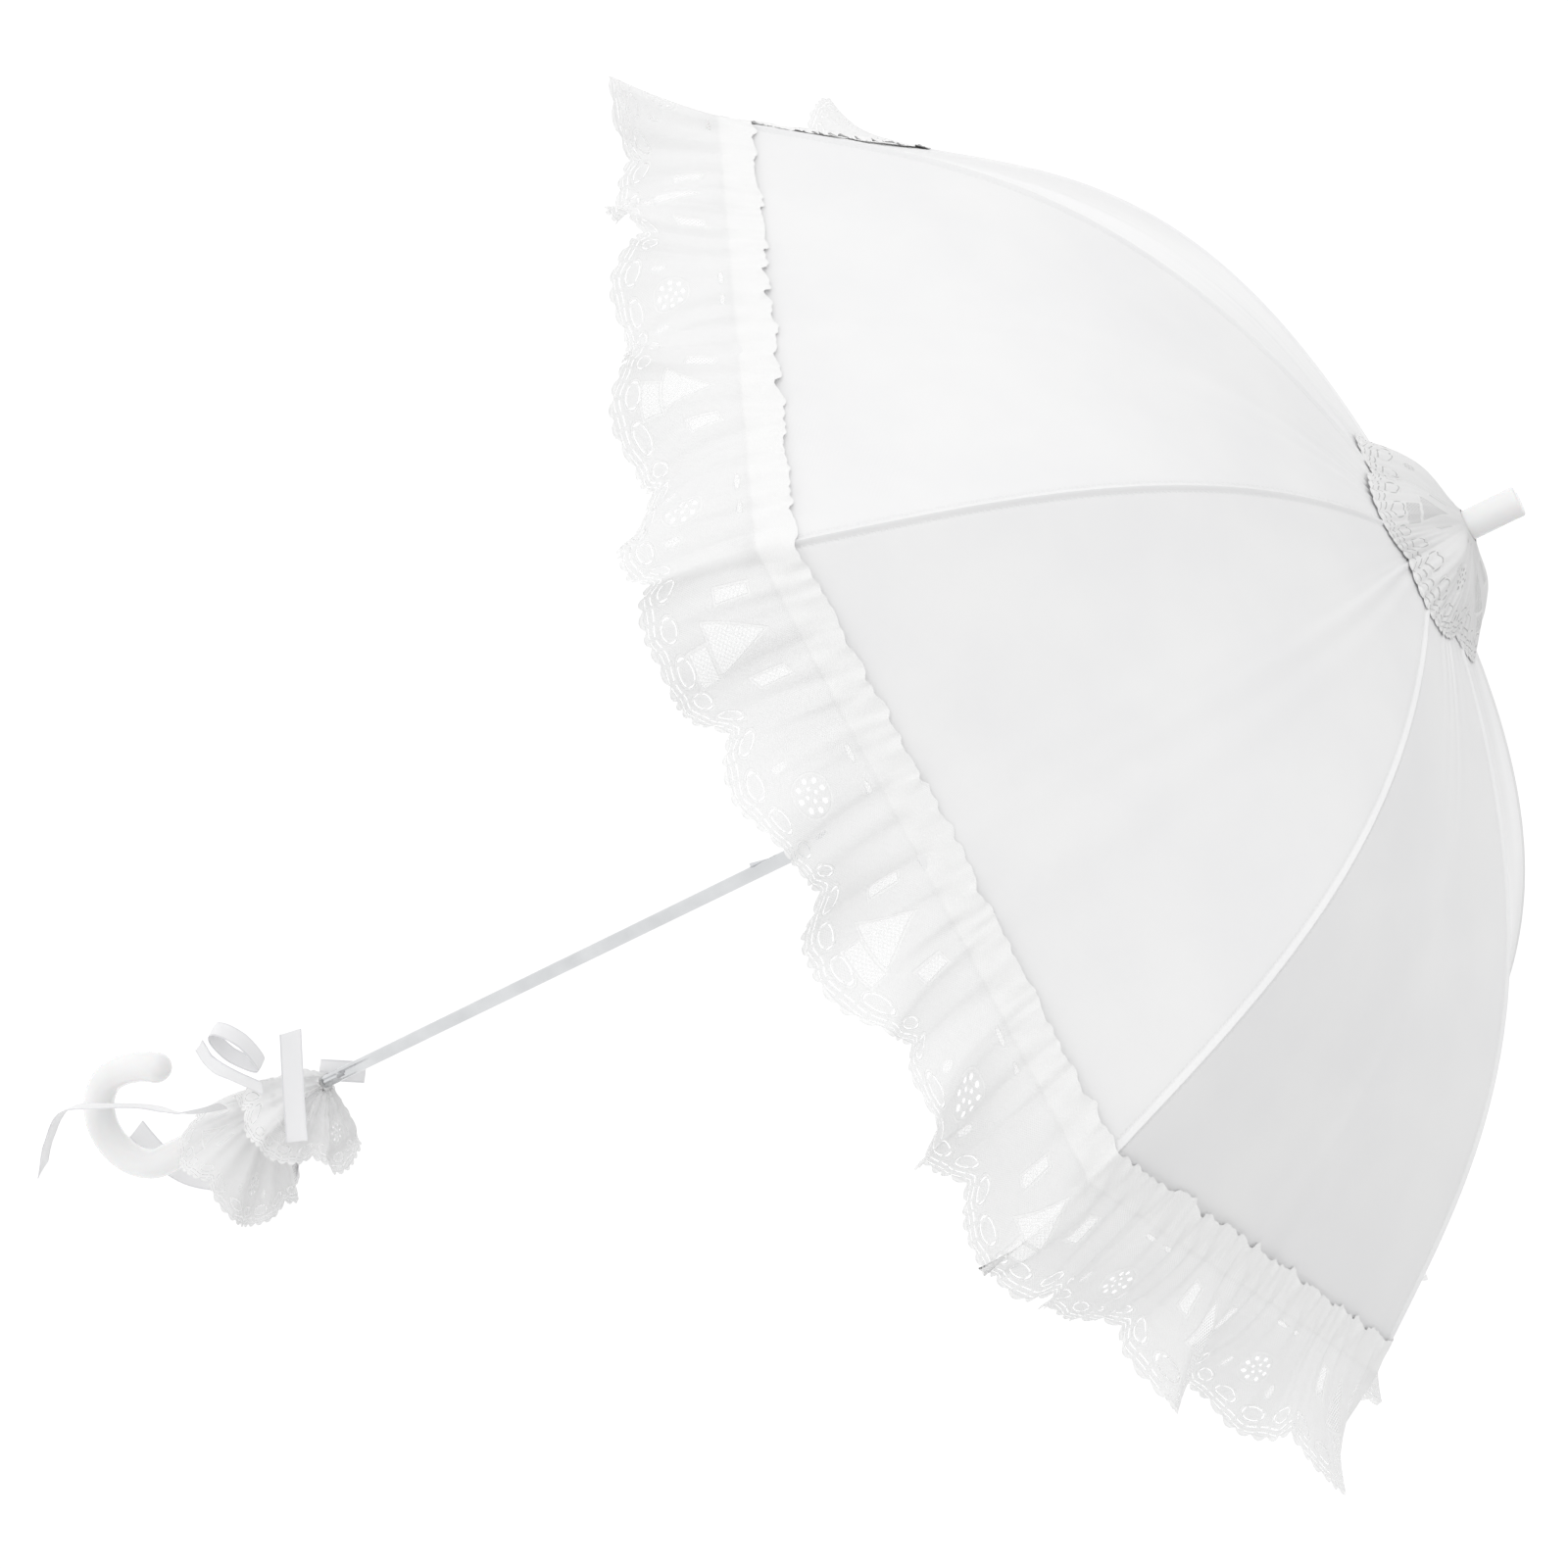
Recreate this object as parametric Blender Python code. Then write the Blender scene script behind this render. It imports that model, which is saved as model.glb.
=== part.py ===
"""Lace parasol with a hook handle, a sliding runner and eight folding ribs.

The shaft is the Z axis, the ferrule is at the top and the hook handle at the bottom.
The origin lies on the axis where the hook begins to bend. The parasol is modelled open.
"""
import math

import bmesh
import bpy
from mathutils import Matrix, Vector

MM = 0.001

# Dome
RIB_COUNT = 8
SECTOR = 2 * math.pi / RIB_COUNT
FIRST_RIB = SECTOR / 2          # the hook points midway between two ribs
RIM_Z = 535 * MM
RIM_RADIUS = 255 * MM
DOME_HEIGHT = 124 * MM
CROWN_Z = RIM_Z + DOME_HEIGHT
PIVOT_RADIUS = 9 * MM
SHOULDER = (166 * MM, 112 * MM)  # first handle of the rib's curve: radius, height over the rim
FLANK = (202 * MM, 58 * MM)      # second handle of the rib's curve
PANEL_SAG = 0.018                # how far the cloth pulls in between two ribs
CLOTH = 1.0 * MM
CLOTH_LIFT = 3.5 * MM            # cloth's outer face over the rib's centre line
CLOTH_HOLE = 6.5 * MM            # radius of the cloth's opening at the crown
LACE = 2.6 * MM
LACE_LIFT = 6.8 * MM             # lace's outer face over the rib's centre line
LACE_INSET = 0.935               # where the lace heading begins along the rib
LACE_DROP = 40 * MM              # lace beyond the rim
SEAM_GAP = 0.3 * MM

# Ribs, stretchers and their hinges
RIB_HALF_WIDTH = 0.8 * MM
RIB_HALF_HEIGHT = 1.2 * MM
EYE_RADIUS = 0.7 * MM
WIRE_RADIUS = 0.35 * MM
STRETCHER_AT = 0.45              # place of the stretcher's pivot along the rib's curve
CLOSE_ANGLE = math.radians(60)
FORK_HALF_WIDTH = 2.0 * MM
FORK_SLOT = 1.2 * MM
FORK_LENGTH = 12 * MM

# Shaft, crown, runner and catches
SHAFT_RADIUS = 3.0 * MM
SHAFT_BORE = 2.4 * MM
FIT = 0.35 * MM
HUB_RADIUS = 6.0 * MM
FLANGE_RADIUS = 11 * MM
SLOT_HALF_WIDTH = 1.3 * MM
SLOT_ROOT = 7.3 * MM
RUNNER_SLEEVE = 32 * MM
RUNNER_TOP = 6 * MM              # runner's upper end over its pivots
CATCH_LENGTH = 15 * MM
CATCH_REACH = 4.4 * MM
CATCH_HALF_WIDTH = 0.7 * MM
CATCH_GAP = 0.4 * MM             # between a catch's flat face and the runner it holds
CATCH_SLOT = 13 * MM
KEYWAY_REACH = 4.9 * MM
KEYWAY_HALF_WIDTH = 1.1 * MM
STOP_RADIUS = 4.8 * MM
STOP_HEIGHT = 3 * MM
STOP_GAP = 0.5 * MM

# Ferrule and handle
FERRULE_TOP = RIM_Z + 162 * MM
FERRULE_RADIUS = 5.5 * MM
FERRULE_SEAT = CROWN_Z + 4 * MM
SHAFT_TOP = FERRULE_TOP - 7 * MM
HANDLE_RADIUS = 6.8 * MM
HOOK_RADIUS = 24.5 * MM
CURL_RADIUS = 50 * MM            # the hook's free end leans in on this radius
CURL_ANGLE = math.radians(30)
HANDLE_TOP = 105 * MM
SOCKET_FLOOR = 45 * MM

# Trimmings
ROSETTE_RADIUS = 45 * MM
FRILL_RADIUS = 47 * MM
FRILL_MEAN = 0.72                # frill's width halfway round, as a share of its low side
LOW_SIDE = math.radians(165)     # side that hangs down when the parasol is held on its side
WAIST_Z = 88 * MM
WAIST_RADIUS = 10 * MM
RIBBON_WIDTH = 10 * MM
RIBBON = 1.0 * MM


def remove_all_objects():
    for obj in list(bpy.data.objects):
        bpy.data.objects.remove(obj, do_unlink=True)


def make_material(name, color, roughness, metallic=0.0):
    material = bpy.data.materials.new(name)
    material.use_nodes = True
    shader = material.node_tree.nodes["Principled BSDF"]
    shader.inputs["Base Color"].default_value = (*color, 1.0)
    shader.inputs["Roughness"].default_value = roughness
    shader.inputs["Metallic"].default_value = metallic
    return material


def finish_mesh(name, bm, smooth_angle=35):
    bmesh.ops.recalc_face_normals(bm, faces=bm.faces)
    mesh = bpy.data.meshes.new(name)
    bm.to_mesh(mesh)
    bm.free()
    mesh.shade_smooth()
    mesh.set_sharp_from_angle(angle=math.radians(smooth_angle))
    return mesh


def skin(name, rings, looped=False):
    """Joins rings of points into one closed body, with flat caps unless it loops."""
    bm = bmesh.new()
    rows = [[bm.verts.new(point) for point in ring] for ring in rings]
    sides = len(rows[0])
    joints = len(rows) if looped else len(rows) - 1
    for row in range(joints):
        upper = rows[row]
        lower = rows[(row + 1) % len(rows)]
        for side in range(sides):
            after = (side + 1) % sides
            bm.faces.new((upper[side], upper[after], lower[after], lower[side]))
    if not looped:
        bm.faces.new(rows[0])
        bm.faces.new(rows[-1])
    return finish_mesh(name, bm)


def circle(center, radius, sides, across=Vector((1, 0, 0)), along=Vector((0, 1, 0))):
    center = Vector(center)
    points = []
    for side in range(sides):
        turn = 2 * math.pi * side / sides
        points.append(center + radius * (math.cos(turn) * across + math.sin(turn) * along))
    return points


def lathe(name, profile, sides, looped=True):
    """Turns a profile of radius and height about the Z axis."""
    return skin(name, [circle((0, 0, z), radius, sides) for radius, z in profile], looped)


def box_mesh(name, low, high):
    low = Vector(low)
    high = Vector(high)
    bm = bmesh.new()
    bmesh.ops.create_cube(bm, size=1.0)
    for vert in bm.verts:
        vert.co = Vector([low[i] + (vert.co[i] + 0.5) * (high[i] - low[i]) for i in range(3)])
    return finish_mesh(name, bm)


def cross_pin(name, radius, half_length, x=0.0, z=0.0, sides=10):
    """A round pin along Y."""
    along = Vector((0, 0, 1))
    ends = [circle((x, y, z), radius, sides, along=along) for y in (-half_length, half_length)]
    return skin(name, ends)


def combine(name, mesh, steps):
    """Cuts away or adds the tool meshes, one after the other, and returns the result."""
    body = bpy.data.objects.new(name + "_blank", mesh)
    bpy.context.scene.collection.objects.link(body)
    tools = []
    for operation, tool_mesh in steps:
        tool = bpy.data.objects.new(name + "_tool", tool_mesh)
        tool.hide_render = True
        tool.display_type = "WIRE"
        bpy.context.scene.collection.objects.link(tool)
        modifier = body.modifiers.new(operation.lower(), "BOOLEAN")
        modifier.operation = operation
        modifier.object = tool
        tools.append(tool)
    depsgraph = bpy.context.evaluated_depsgraph_get()
    result = bpy.data.meshes.new_from_object(body.evaluated_get(depsgraph))
    result.name = name
    for spare in [body] + tools:
        bpy.data.objects.remove(spare, do_unlink=True)
    return result


def place(name, mesh, material, parent=None, location=(0, 0, 0)):
    obj = bpy.data.objects.new(name, mesh)
    if not mesh.materials:
        mesh.materials.append(material)
    obj.parent = parent
    obj.location = location
    bpy.context.scene.collection.objects.link(obj)
    return obj


def hinge_point(name, location, parent=None, turn=0.0):
    empty = bpy.data.objects.new(name, None)
    empty.empty_display_size = 5 * MM
    empty.parent = parent
    empty.location = location
    empty.rotation_euler = (0, 0, turn)
    bpy.context.scene.collection.objects.link(empty)
    return empty


# ---------------------------------------------------------------- dome curves

def rib_point(share):
    """Radius and height of the rib's centre line, from the crown (0) to the rim (1)."""
    knots = (
        (PIVOT_RADIUS, CROWN_Z),
        (SHOULDER[0], RIM_Z + SHOULDER[1]),
        (FLANK[0], RIM_Z + FLANK[1]),
        (RIM_RADIUS, RIM_Z),
    )
    rest = 1 - share
    weights = (rest**3, 3 * rest**2 * share, 3 * rest * share**2, share**3)
    radius = sum(weight * knot[0] for weight, knot in zip(weights, knots))
    height = sum(weight * knot[1] for weight, knot in zip(weights, knots))
    return radius, height


def rib_slope(share):
    """Unit direction of the rib's centre line at this share of its curve."""
    step = 0.001
    start = rib_point(max(0.0, share - step))
    end = rib_point(min(1.0, share + step))
    length = math.hypot(end[0] - start[0], end[1] - start[1])
    return (end[0] - start[0]) / length, (end[1] - start[1]) / length


def rib_offset(share, lift, beyond=0.0):
    """A point lifted off the rib's centre line, and carried on past its end."""
    radius, height = rib_point(share)
    run, rise = rib_slope(share)
    return radius - rise * lift + run * beyond, height + run * lift + rise * beyond


def cloth_point(radius, height, turn, share):
    """Carries a rib-line point round the dome: straight hems, slightly hollow panels."""
    half = SECTOR / 2
    across = half - abs(turn)
    chord = math.cos(half) / math.cos(across)
    hollow = PANEL_SAG * math.sin(math.pi * share) * (1 - (across / half)**2)
    reach = radius * chord * (1 - hollow)
    return Vector((reach * math.cos(turn) - PIVOT_RADIUS, reach * math.sin(turn), height - CROWN_Z))


def shell_sector(name, stations, thickness, turns):
    """A closed shell over one rib; stations are (share, lift, beyond) down the dome."""
    bm = bmesh.new()
    layers = []
    for drop in (0.0, thickness):
        layer = []
        for share, lift, beyond in stations:
            radius, height = rib_offset(share, lift - drop, beyond)
            if share == 0.0:
                radius = CLOTH_HOLE
            limit = SECTOR / 2 - SEAM_GAP / radius
            row = [cloth_point(radius, height, limit * step / turns, share)
                   for step in range(-turns, turns + 1)]
            layer.append([bm.verts.new(point) for point in row])
        layers.append(layer)
    outer, inner = layers
    rows = len(outer)
    columns = len(outer[0])
    for row in range(rows - 1):
        for column in range(columns - 1):
            for sheet in (outer, inner):
                bm.faces.new((sheet[row][column], sheet[row][column + 1],
                              sheet[row + 1][column + 1], sheet[row + 1][column]))
        for column in (0, columns - 1):
            bm.faces.new((outer[row][column], outer[row + 1][column],
                          inner[row + 1][column], inner[row][column]))
    for column in range(columns - 1):
        for row in (0, rows - 1):
            bm.faces.new((outer[row][column], outer[row][column + 1],
                          inner[row][column + 1], inner[row][column]))
    return finish_mesh(name, bm)


def canopy_mesh():
    stations = [(step / 9, CLOTH_LIFT, 0.0) for step in range(10)]
    return shell_sector("canopy_cloth", stations, CLOTH, 3)


def hem_lace_mesh():
    stations = [(LACE_INSET, LACE_LIFT, 0.0), (1.0, LACE_LIFT, 0.0),
                (1.0, LACE_LIFT, LACE_DROP / 2), (1.0, LACE_LIFT, LACE_DROP)]
    return shell_sector("hem_lace", stations, LACE, 4)


# ------------------------------------------------------- ribs and stretchers

def bar_ring(center, normal, half_width, half_height):
    side = Vector((0, 1, 0))
    corners = ((1, 1), (-1, 1), (-1, -1), (1, -1))
    return [center + a * half_width * side + b * half_height * normal for a, b in corners]


def rib_mesh():
    """A spring-steel rib with an eye at the crown and one at the stretcher."""
    rings = [bar_ring(Vector((-1.3 * MM, 0, 0)), Vector((0, 0, 1)), RIB_HALF_WIDTH, 0.6 * MM)]
    steps = 14
    for step in range(steps + 1):
        share = step / steps
        radius, height = rib_point(share)
        run, rise = rib_slope(share)
        center = Vector((radius - PIVOT_RADIUS, 0, height - CROWN_Z))
        normal = Vector((-rise, 0, run))
        rings.append(bar_ring(center, normal, RIB_HALF_WIDTH, RIB_HALF_HEIGHT))
    blank = skin("rib_blank", rings)
    reach = 3 * MM
    joint = stretcher_joint()
    eyes = [
        ("DIFFERENCE", cross_pin("crown_eye", EYE_RADIUS, reach)),
        ("DIFFERENCE", cross_pin("stretcher_eye", EYE_RADIUS, reach, joint.x, joint.z)),
    ]
    return combine("rib", blank, eyes)


def rib_tip_mesh():
    """A rounded cap on the rib's end."""
    radius, height = rib_point(1.0)
    run, rise = rib_slope(1.0)
    ahead = Vector((run, 0, rise))
    up = Vector((-rise, 0, run))
    end = Vector((radius - PIVOT_RADIUS, 0, height - CROWN_Z))
    side = Vector((0, 1, 0))
    floor = end + FIT * ahead
    profile = ((0.0, 1.4), (0.6, 2.1), (2.6, 2.3), (4.2, 1.8), (5.0, 0.8))
    rings = [circle(floor + depth * MM * ahead, reach * MM, 10, side, up) for depth, reach in profile]
    return skin("rib_tip", rings)


def stretcher_joint():
    """Pivot of the stretcher on the rib, seen from the rib's own pivot."""
    radius, height = rib_point(STRETCHER_AT)
    return Vector((radius - PIVOT_RADIUS, 0, height - CROWN_Z))


def link_angle():
    joint = stretcher_joint()
    return math.atan2(-joint.z, joint.x)


def runner_height(fold=0.0):
    """Height of the runner's pivots with the ribs turned down by this angle."""
    return CROWN_Z - 2 * stretcher_joint().length * math.sin(link_angle() + fold)


def stretcher_mesh():
    """A link as long as the rib's inner part, forked round the rib and slim at the runner."""
    length = stretcher_joint().length
    normal = Vector((0, 0, 1))
    outline = (
        (-1.6 * MM, FORK_HALF_WIDTH, 0.7 * MM),
        (0.0, FORK_HALF_WIDTH, 1.3 * MM),
        (FORK_LENGTH, FORK_HALF_WIDTH, 1.3 * MM),
        (FORK_LENGTH + 3 * MM, RIB_HALF_WIDTH, 1.0 * MM),
        (length - 1 * MM, RIB_HALF_WIDTH, 1.0 * MM),
        (length + 1 * MM, RIB_HALF_WIDTH, 0.5 * MM),
    )
    rings = [bar_ring(Vector((x, 0, 0)), normal, width, height) for x, width, height in outline]
    slot = box_mesh("fork_slot", (-4 * MM, -FORK_SLOT, -4 * MM), (FORK_LENGTH, FORK_SLOT, 4 * MM))
    steps = [("DIFFERENCE", slot), ("UNION", cross_pin("rivet", WIRE_RADIUS, 1.7 * MM, sides=8))]
    mesh = combine("stretcher", skin("stretcher_blank", rings), steps)
    mesh.transform(Matrix.Rotation(math.pi - link_angle(), 4, "Y"))
    return mesh


def add_ribs(materials):
    rib = rib_mesh()
    tip = rib_tip_mesh()
    cloth = canopy_mesh()
    lace = hem_lace_mesh()
    stretcher = stretcher_mesh()
    for number in range(1, RIB_COUNT + 1):
        turn = FIRST_RIB + (number - 1) * SECTOR
        pivot = (PIVOT_RADIUS * math.cos(turn), PIVOT_RADIUS * math.sin(turn), CROWN_Z)
        rib_hinge = hinge_point(f"rib_hinge_{number}", pivot, turn=turn)
        place(f"rib_{number}", rib, materials["rib_steel"], rib_hinge)
        place(f"rib_tip_{number}", tip, materials["white_plastic"], rib_hinge)
        place(f"canopy_{number}", cloth, materials["satin"], rib_hinge)
        place(f"hem_lace_{number}", lace, materials["lace"], rib_hinge)
        stretcher_hinge = hinge_point(f"stretcher_hinge_{number}", stretcher_joint(), rib_hinge)
        place(f"stretcher_{number}", stretcher, materials["rib_steel"], stretcher_hinge)


# ------------------------------------------------- shaft, crown and runner

def slot_cutter(name, low, high):
    """Eight radial slots, one at each rib, as one tool."""
    bm = bmesh.new()
    for number in range(RIB_COUNT):
        turn = Matrix.Rotation(FIRST_RIB + number * SECTOR, 4, "Z")
        corners = bmesh.ops.create_cube(bm, size=1.0)["verts"]
        for vert in corners:
            x = SLOT_ROOT if vert.co.x < 0 else FLANGE_RADIUS + 2 * MM
            y = math.copysign(SLOT_HALF_WIDTH, vert.co.y)
            z = low if vert.co.z < 0 else high
            vert.co = turn @ Vector((x, y, z))
    return finish_mesh(name, bm)


def crown_mesh():
    """Notched ring that the ribs hang from; a groove round it holds the wire."""
    bore = SHAFT_RADIUS + FIT
    top = 1.4 * MM
    groove = 0.75 * MM
    profile = (
        (bore, top), (FLANGE_RADIUS, top), (FLANGE_RADIUS, groove),
        (PIVOT_RADIUS - groove, groove), (PIVOT_RADIUS - groove, -groove),
        (FLANGE_RADIUS, -groove), (FLANGE_RADIUS, -3.2 * MM),
        (HUB_RADIUS, -4 * MM), (HUB_RADIUS - 0.6 * MM, -12 * MM), (bore, -12 * MM),
    )
    cutter = slot_cutter("crown_slots", -6 * MM, 4 * MM)
    return combine("crown", lathe("crown_blank", profile, 32), [("DIFFERENCE", cutter)])


def runner_mesh():
    """Sleeve with a notched flange for the stretchers and a keyway over the catches."""
    bore = SHAFT_RADIUS + FIT
    profile = (
        (bore, RUNNER_TOP), (HUB_RADIUS - 0.5 * MM, RUNNER_TOP), (HUB_RADIUS, 5.5 * MM),
        (HUB_RADIUS, 4 * MM), (FLANGE_RADIUS, 3.4 * MM), (FLANGE_RADIUS, -3.4 * MM),
        (HUB_RADIUS, -4 * MM), (HUB_RADIUS, -RUNNER_SLEEVE + 3 * MM),
        (HUB_RADIUS + 0.8 * MM, -RUNNER_SLEEVE + 2 * MM), (HUB_RADIUS + 0.8 * MM, -RUNNER_SLEEVE),
        (bore, -RUNNER_SLEEVE),
    )
    keyway = box_mesh("keyway", (0, -KEYWAY_HALF_WIDTH, -RUNNER_SLEEVE - 2 * MM),
                      (KEYWAY_REACH, KEYWAY_HALF_WIDTH, RUNNER_TOP + 2 * MM))
    steps = [("DIFFERENCE", slot_cutter("runner_slots", -8 * MM, 8 * MM)), ("DIFFERENCE", keyway)]
    return combine("runner", lathe("runner_blank", profile, 32), steps)


def catch_heights():
    """Flat faces of the two catches: under the open runner and over the closed one."""
    under_open = runner_height() - RUNNER_SLEEVE - CATCH_GAP
    over_closed = runner_height(CLOSE_ANGLE) + RUNNER_TOP + CATCH_GAP
    return under_open, over_closed


def catch_mesh(name, pointing):
    """Wedge spring; its flat face is at z 0 and it tapers off against pointing."""
    outline = ((0.9 * MM, 0.0), (CATCH_REACH, 0.0), (2.2 * MM, 12 * MM), (1.6 * MM, CATCH_LENGTH),
               (0.9 * MM, CATCH_LENGTH))
    rings = [[Vector((x, y, -pointing * z)) for x, z in outline]
             for y in (-CATCH_HALF_WIDTH, CATCH_HALF_WIDTH)]
    return skin(name, rings)


def shaft_mesh():
    low = SOCKET_FLOOR + FIT
    high = SHAFT_TOP
    profile = ((SHAFT_BORE, low), (SHAFT_RADIUS, low), (SHAFT_RADIUS, high), (SHAFT_BORE, high))
    under_open, over_closed = catch_heights()
    width = CATCH_HALF_WIDTH + FIT
    slots = []
    for flat, pointing in ((under_open, 1), (over_closed, -1)):
        ends = sorted((flat + pointing * FIT, flat - pointing * CATCH_SLOT))
        tool = box_mesh("catch_slot", (0.5 * MM, -width, ends[0]), (5 * MM, width, ends[1]))
        slots.append(("DIFFERENCE", tool))
    return combine("shaft", lathe("shaft_blank", profile, 20), slots)


def wire_mesh():
    """Ring of wire threaded through the eyes of the ribs."""
    rings = []
    for step in range(32):
        turn = 2 * math.pi * step / 32
        out = Vector((math.cos(turn), math.sin(turn), 0))
        rings.append(circle(PIVOT_RADIUS * out, WIRE_RADIUS, 6, out, Vector((0, 0, 1))))
    return skin("crown_wire", rings, looped=True)


def add_frame(materials):
    place("shaft_tube", shaft_mesh(), materials["chrome"])
    place("crown", crown_mesh(), materials["white_plastic"], location=(0, 0, CROWN_Z))
    place("crown_wire", wire_mesh(), materials["rib_steel"], location=(0, 0, CROWN_Z))
    place("runner", runner_mesh(), materials["white_plastic"], location=(0, 0, runner_height()))
    under_open, over_closed = catch_heights()
    place("top_catch", catch_mesh("top_catch", 1), materials["rib_steel"],
          location=(0, 0, under_open))
    place("bottom_catch", catch_mesh("bottom_catch", -1), materials["rib_steel"],
          location=(0, 0, over_closed))
    bore = SHAFT_RADIUS + FIT
    ring = ((bore, 0), (STOP_RADIUS, 0), (STOP_RADIUS, STOP_HEIGHT), (bore, STOP_HEIGHT))
    place("stop_ring", lathe("stop_ring", ring, 20), materials["chrome"],
          location=(0, 0, runner_height() + RUNNER_TOP + STOP_GAP))


# ------------------------------------------------------ handle and ferrule

def hook_curl(curl):
    """Centre line of the hook's free end, past the half circle."""
    x = 2 * HOOK_RADIUS - CURL_RADIUS * (1 - math.cos(curl))
    return Vector((x, 0, CURL_RADIUS * math.sin(curl)))


def handle_mesh():
    """Round bar bent into a hook, with a socket for the shaft in its straight stem."""
    sides = 16
    rings = [
        circle((0, 0, SOCKET_FLOOR), SHAFT_RADIUS + FIT, sides),
        circle((0, 0, HANDLE_TOP), SHAFT_RADIUS + FIT, sides),
        circle((0, 0, HANDLE_TOP), HANDLE_RADIUS - 1.6 * MM, sides),
        circle((0, 0, HANDLE_TOP - 2 * MM), HANDLE_RADIUS - 0.4 * MM, sides),
        circle((0, 0, HANDLE_TOP - 5 * MM), HANDLE_RADIUS, sides),
    ]
    bend_steps = 14
    for step in range(bend_steps + 1):
        bend = math.pi * step / bend_steps
        center = (HOOK_RADIUS * (1 - math.cos(bend)), 0, -HOOK_RADIUS * math.sin(bend))
        across = Vector((math.cos(bend), 0, math.sin(bend)))
        rings.append(circle(center, HANDLE_RADIUS, sides, across))
    curl_steps = 4
    for step in range(1, curl_steps + 1):
        curl = CURL_ANGLE * step / curl_steps
        across = Vector((-math.cos(curl), 0, -math.sin(curl)))
        rings.append(circle(hook_curl(curl), HANDLE_RADIUS, sides, across))
    ahead = Vector((-math.sin(CURL_ANGLE), 0, math.cos(CURL_ANGLE)))
    across = Vector((-math.cos(CURL_ANGLE), 0, -math.sin(CURL_ANGLE)))
    for step in range(1, 5):
        dome = 0.42 * math.pi * step / 4
        center = hook_curl(CURL_ANGLE) + HANDLE_RADIUS * math.sin(dome) * ahead
        rings.append(circle(center, HANDLE_RADIUS * math.cos(dome), sides, across))
    return skin("handle_hook", rings)


def ferrule_mesh():
    seat = FERRULE_SEAT
    profile = (
        (SHAFT_RADIUS + FIT, SHAFT_TOP + 0.5 * MM), (SHAFT_RADIUS + FIT, seat),
        (7.6 * MM, seat), (7.6 * MM, seat + 1.2 * MM), (FERRULE_RADIUS, seat + 2.4 * MM),
        (FERRULE_RADIUS, FERRULE_TOP - 0.6 * MM), (FERRULE_RADIUS - 0.6 * MM, FERRULE_TOP),
    )
    return lathe("ferrule", profile, 24, looped=False)


# ---------------------------------------------------------------- trimmings

def dome_height(radius):
    """Height of the cloth's outer face over a rib, at this radius near the crown."""
    share = 0.0
    while rib_offset(share, CLOTH_LIFT)[0] < radius:
        share += 0.005
    return rib_offset(share, CLOTH_LIFT)[1]


def rosette_mesh():
    """Gathered lace collar round the ferrule, lying on the dome."""
    inner = FERRULE_RADIUS + 0.5 * MM
    seat = CROWN_Z + 7 * MM
    edge = dome_height(ROSETTE_RADIUS)
    profile = (
        (inner, seat), (9 * MM, seat), (14 * MM, dome_height(14 * MM) + 2 * MM),
        (ROSETTE_RADIUS - 2 * MM, edge + 1.2 * MM), (ROSETTE_RADIUS, edge + 4 * MM),
        (ROSETTE_RADIUS - 6 * MM, edge + 12 * MM), (18 * MM, CROWN_Z + 20 * MM),
        (inner, CROWN_Z + 24 * MM),
    )
    return lathe("apex_rosette", profile, 24)


def frill_mesh():
    """Two lace flounces tied in at the waist, both fuller on the low side of the held parasol."""
    inner = HANDLE_RADIUS + 0.4 * MM
    profile = (
        (inner, 80), (15 * MM, 58), (27 * MM, 36), (36 * MM, 32), (40 * MM, 38), (26 * MM, 56),
        (12 * MM, 81), (WAIST_RADIUS, 82.5), (WAIST_RADIUS, 93.5), (18 * MM, 98), (27 * MM, 93),
        (36 * MM, 79), (43 * MM, 62), (FRILL_RADIUS, 63), (41 * MM, 80), (31 * MM, 98),
        (20 * MM, 103), (9 * MM, 103), (inner, 99),
    )
    sides = 24
    rings = []
    for reach, height in profile:
        ring = []
        for side in range(sides):
            turn = 2 * math.pi * side / sides
            fullness = FRILL_MEAN + (1 - FRILL_MEAN) * math.cos(turn - LOW_SIDE)
            radius = WAIST_RADIUS + (reach - WAIST_RADIUS) * (fullness if reach > WAIST_RADIUS else 1)
            ring.append(Vector((radius * math.cos(turn), radius * math.sin(turn), height * MM)))
        rings.append(ring)
    return skin("neck_frill", rings, looped=True)


def band_mesh():
    low = WAIST_Z - 5 * MM
    high = WAIST_Z + 5 * MM
    inner = WAIST_RADIUS + 0.4 * MM
    profile = ((inner, low), (inner + 1.2 * MM, low), (inner + 1.2 * MM, high), (inner, high))
    return lathe("neck_band", profile, 24)


def smooth_route(route, steps=4):
    """Catmull-Rom samples through the route's own points."""
    points = [Vector(point) * MM for point in route]
    ends = [2 * points[0] - points[1]] + points + [2 * points[-1] - points[-2]]
    samples = []
    for index in range(1, len(ends) - 2):
        before, start, stop, after = ends[index - 1:index + 3]
        for step in range(steps):
            t = step / steps
            samples.append(0.5 * (2 * start + (stop - before) * t
                                  + (2 * before - 5 * start + 4 * stop - after) * t**2
                                  + (3 * start - before - 3 * stop + after) * t**3))
    samples.append(points[-1])
    return samples


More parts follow.
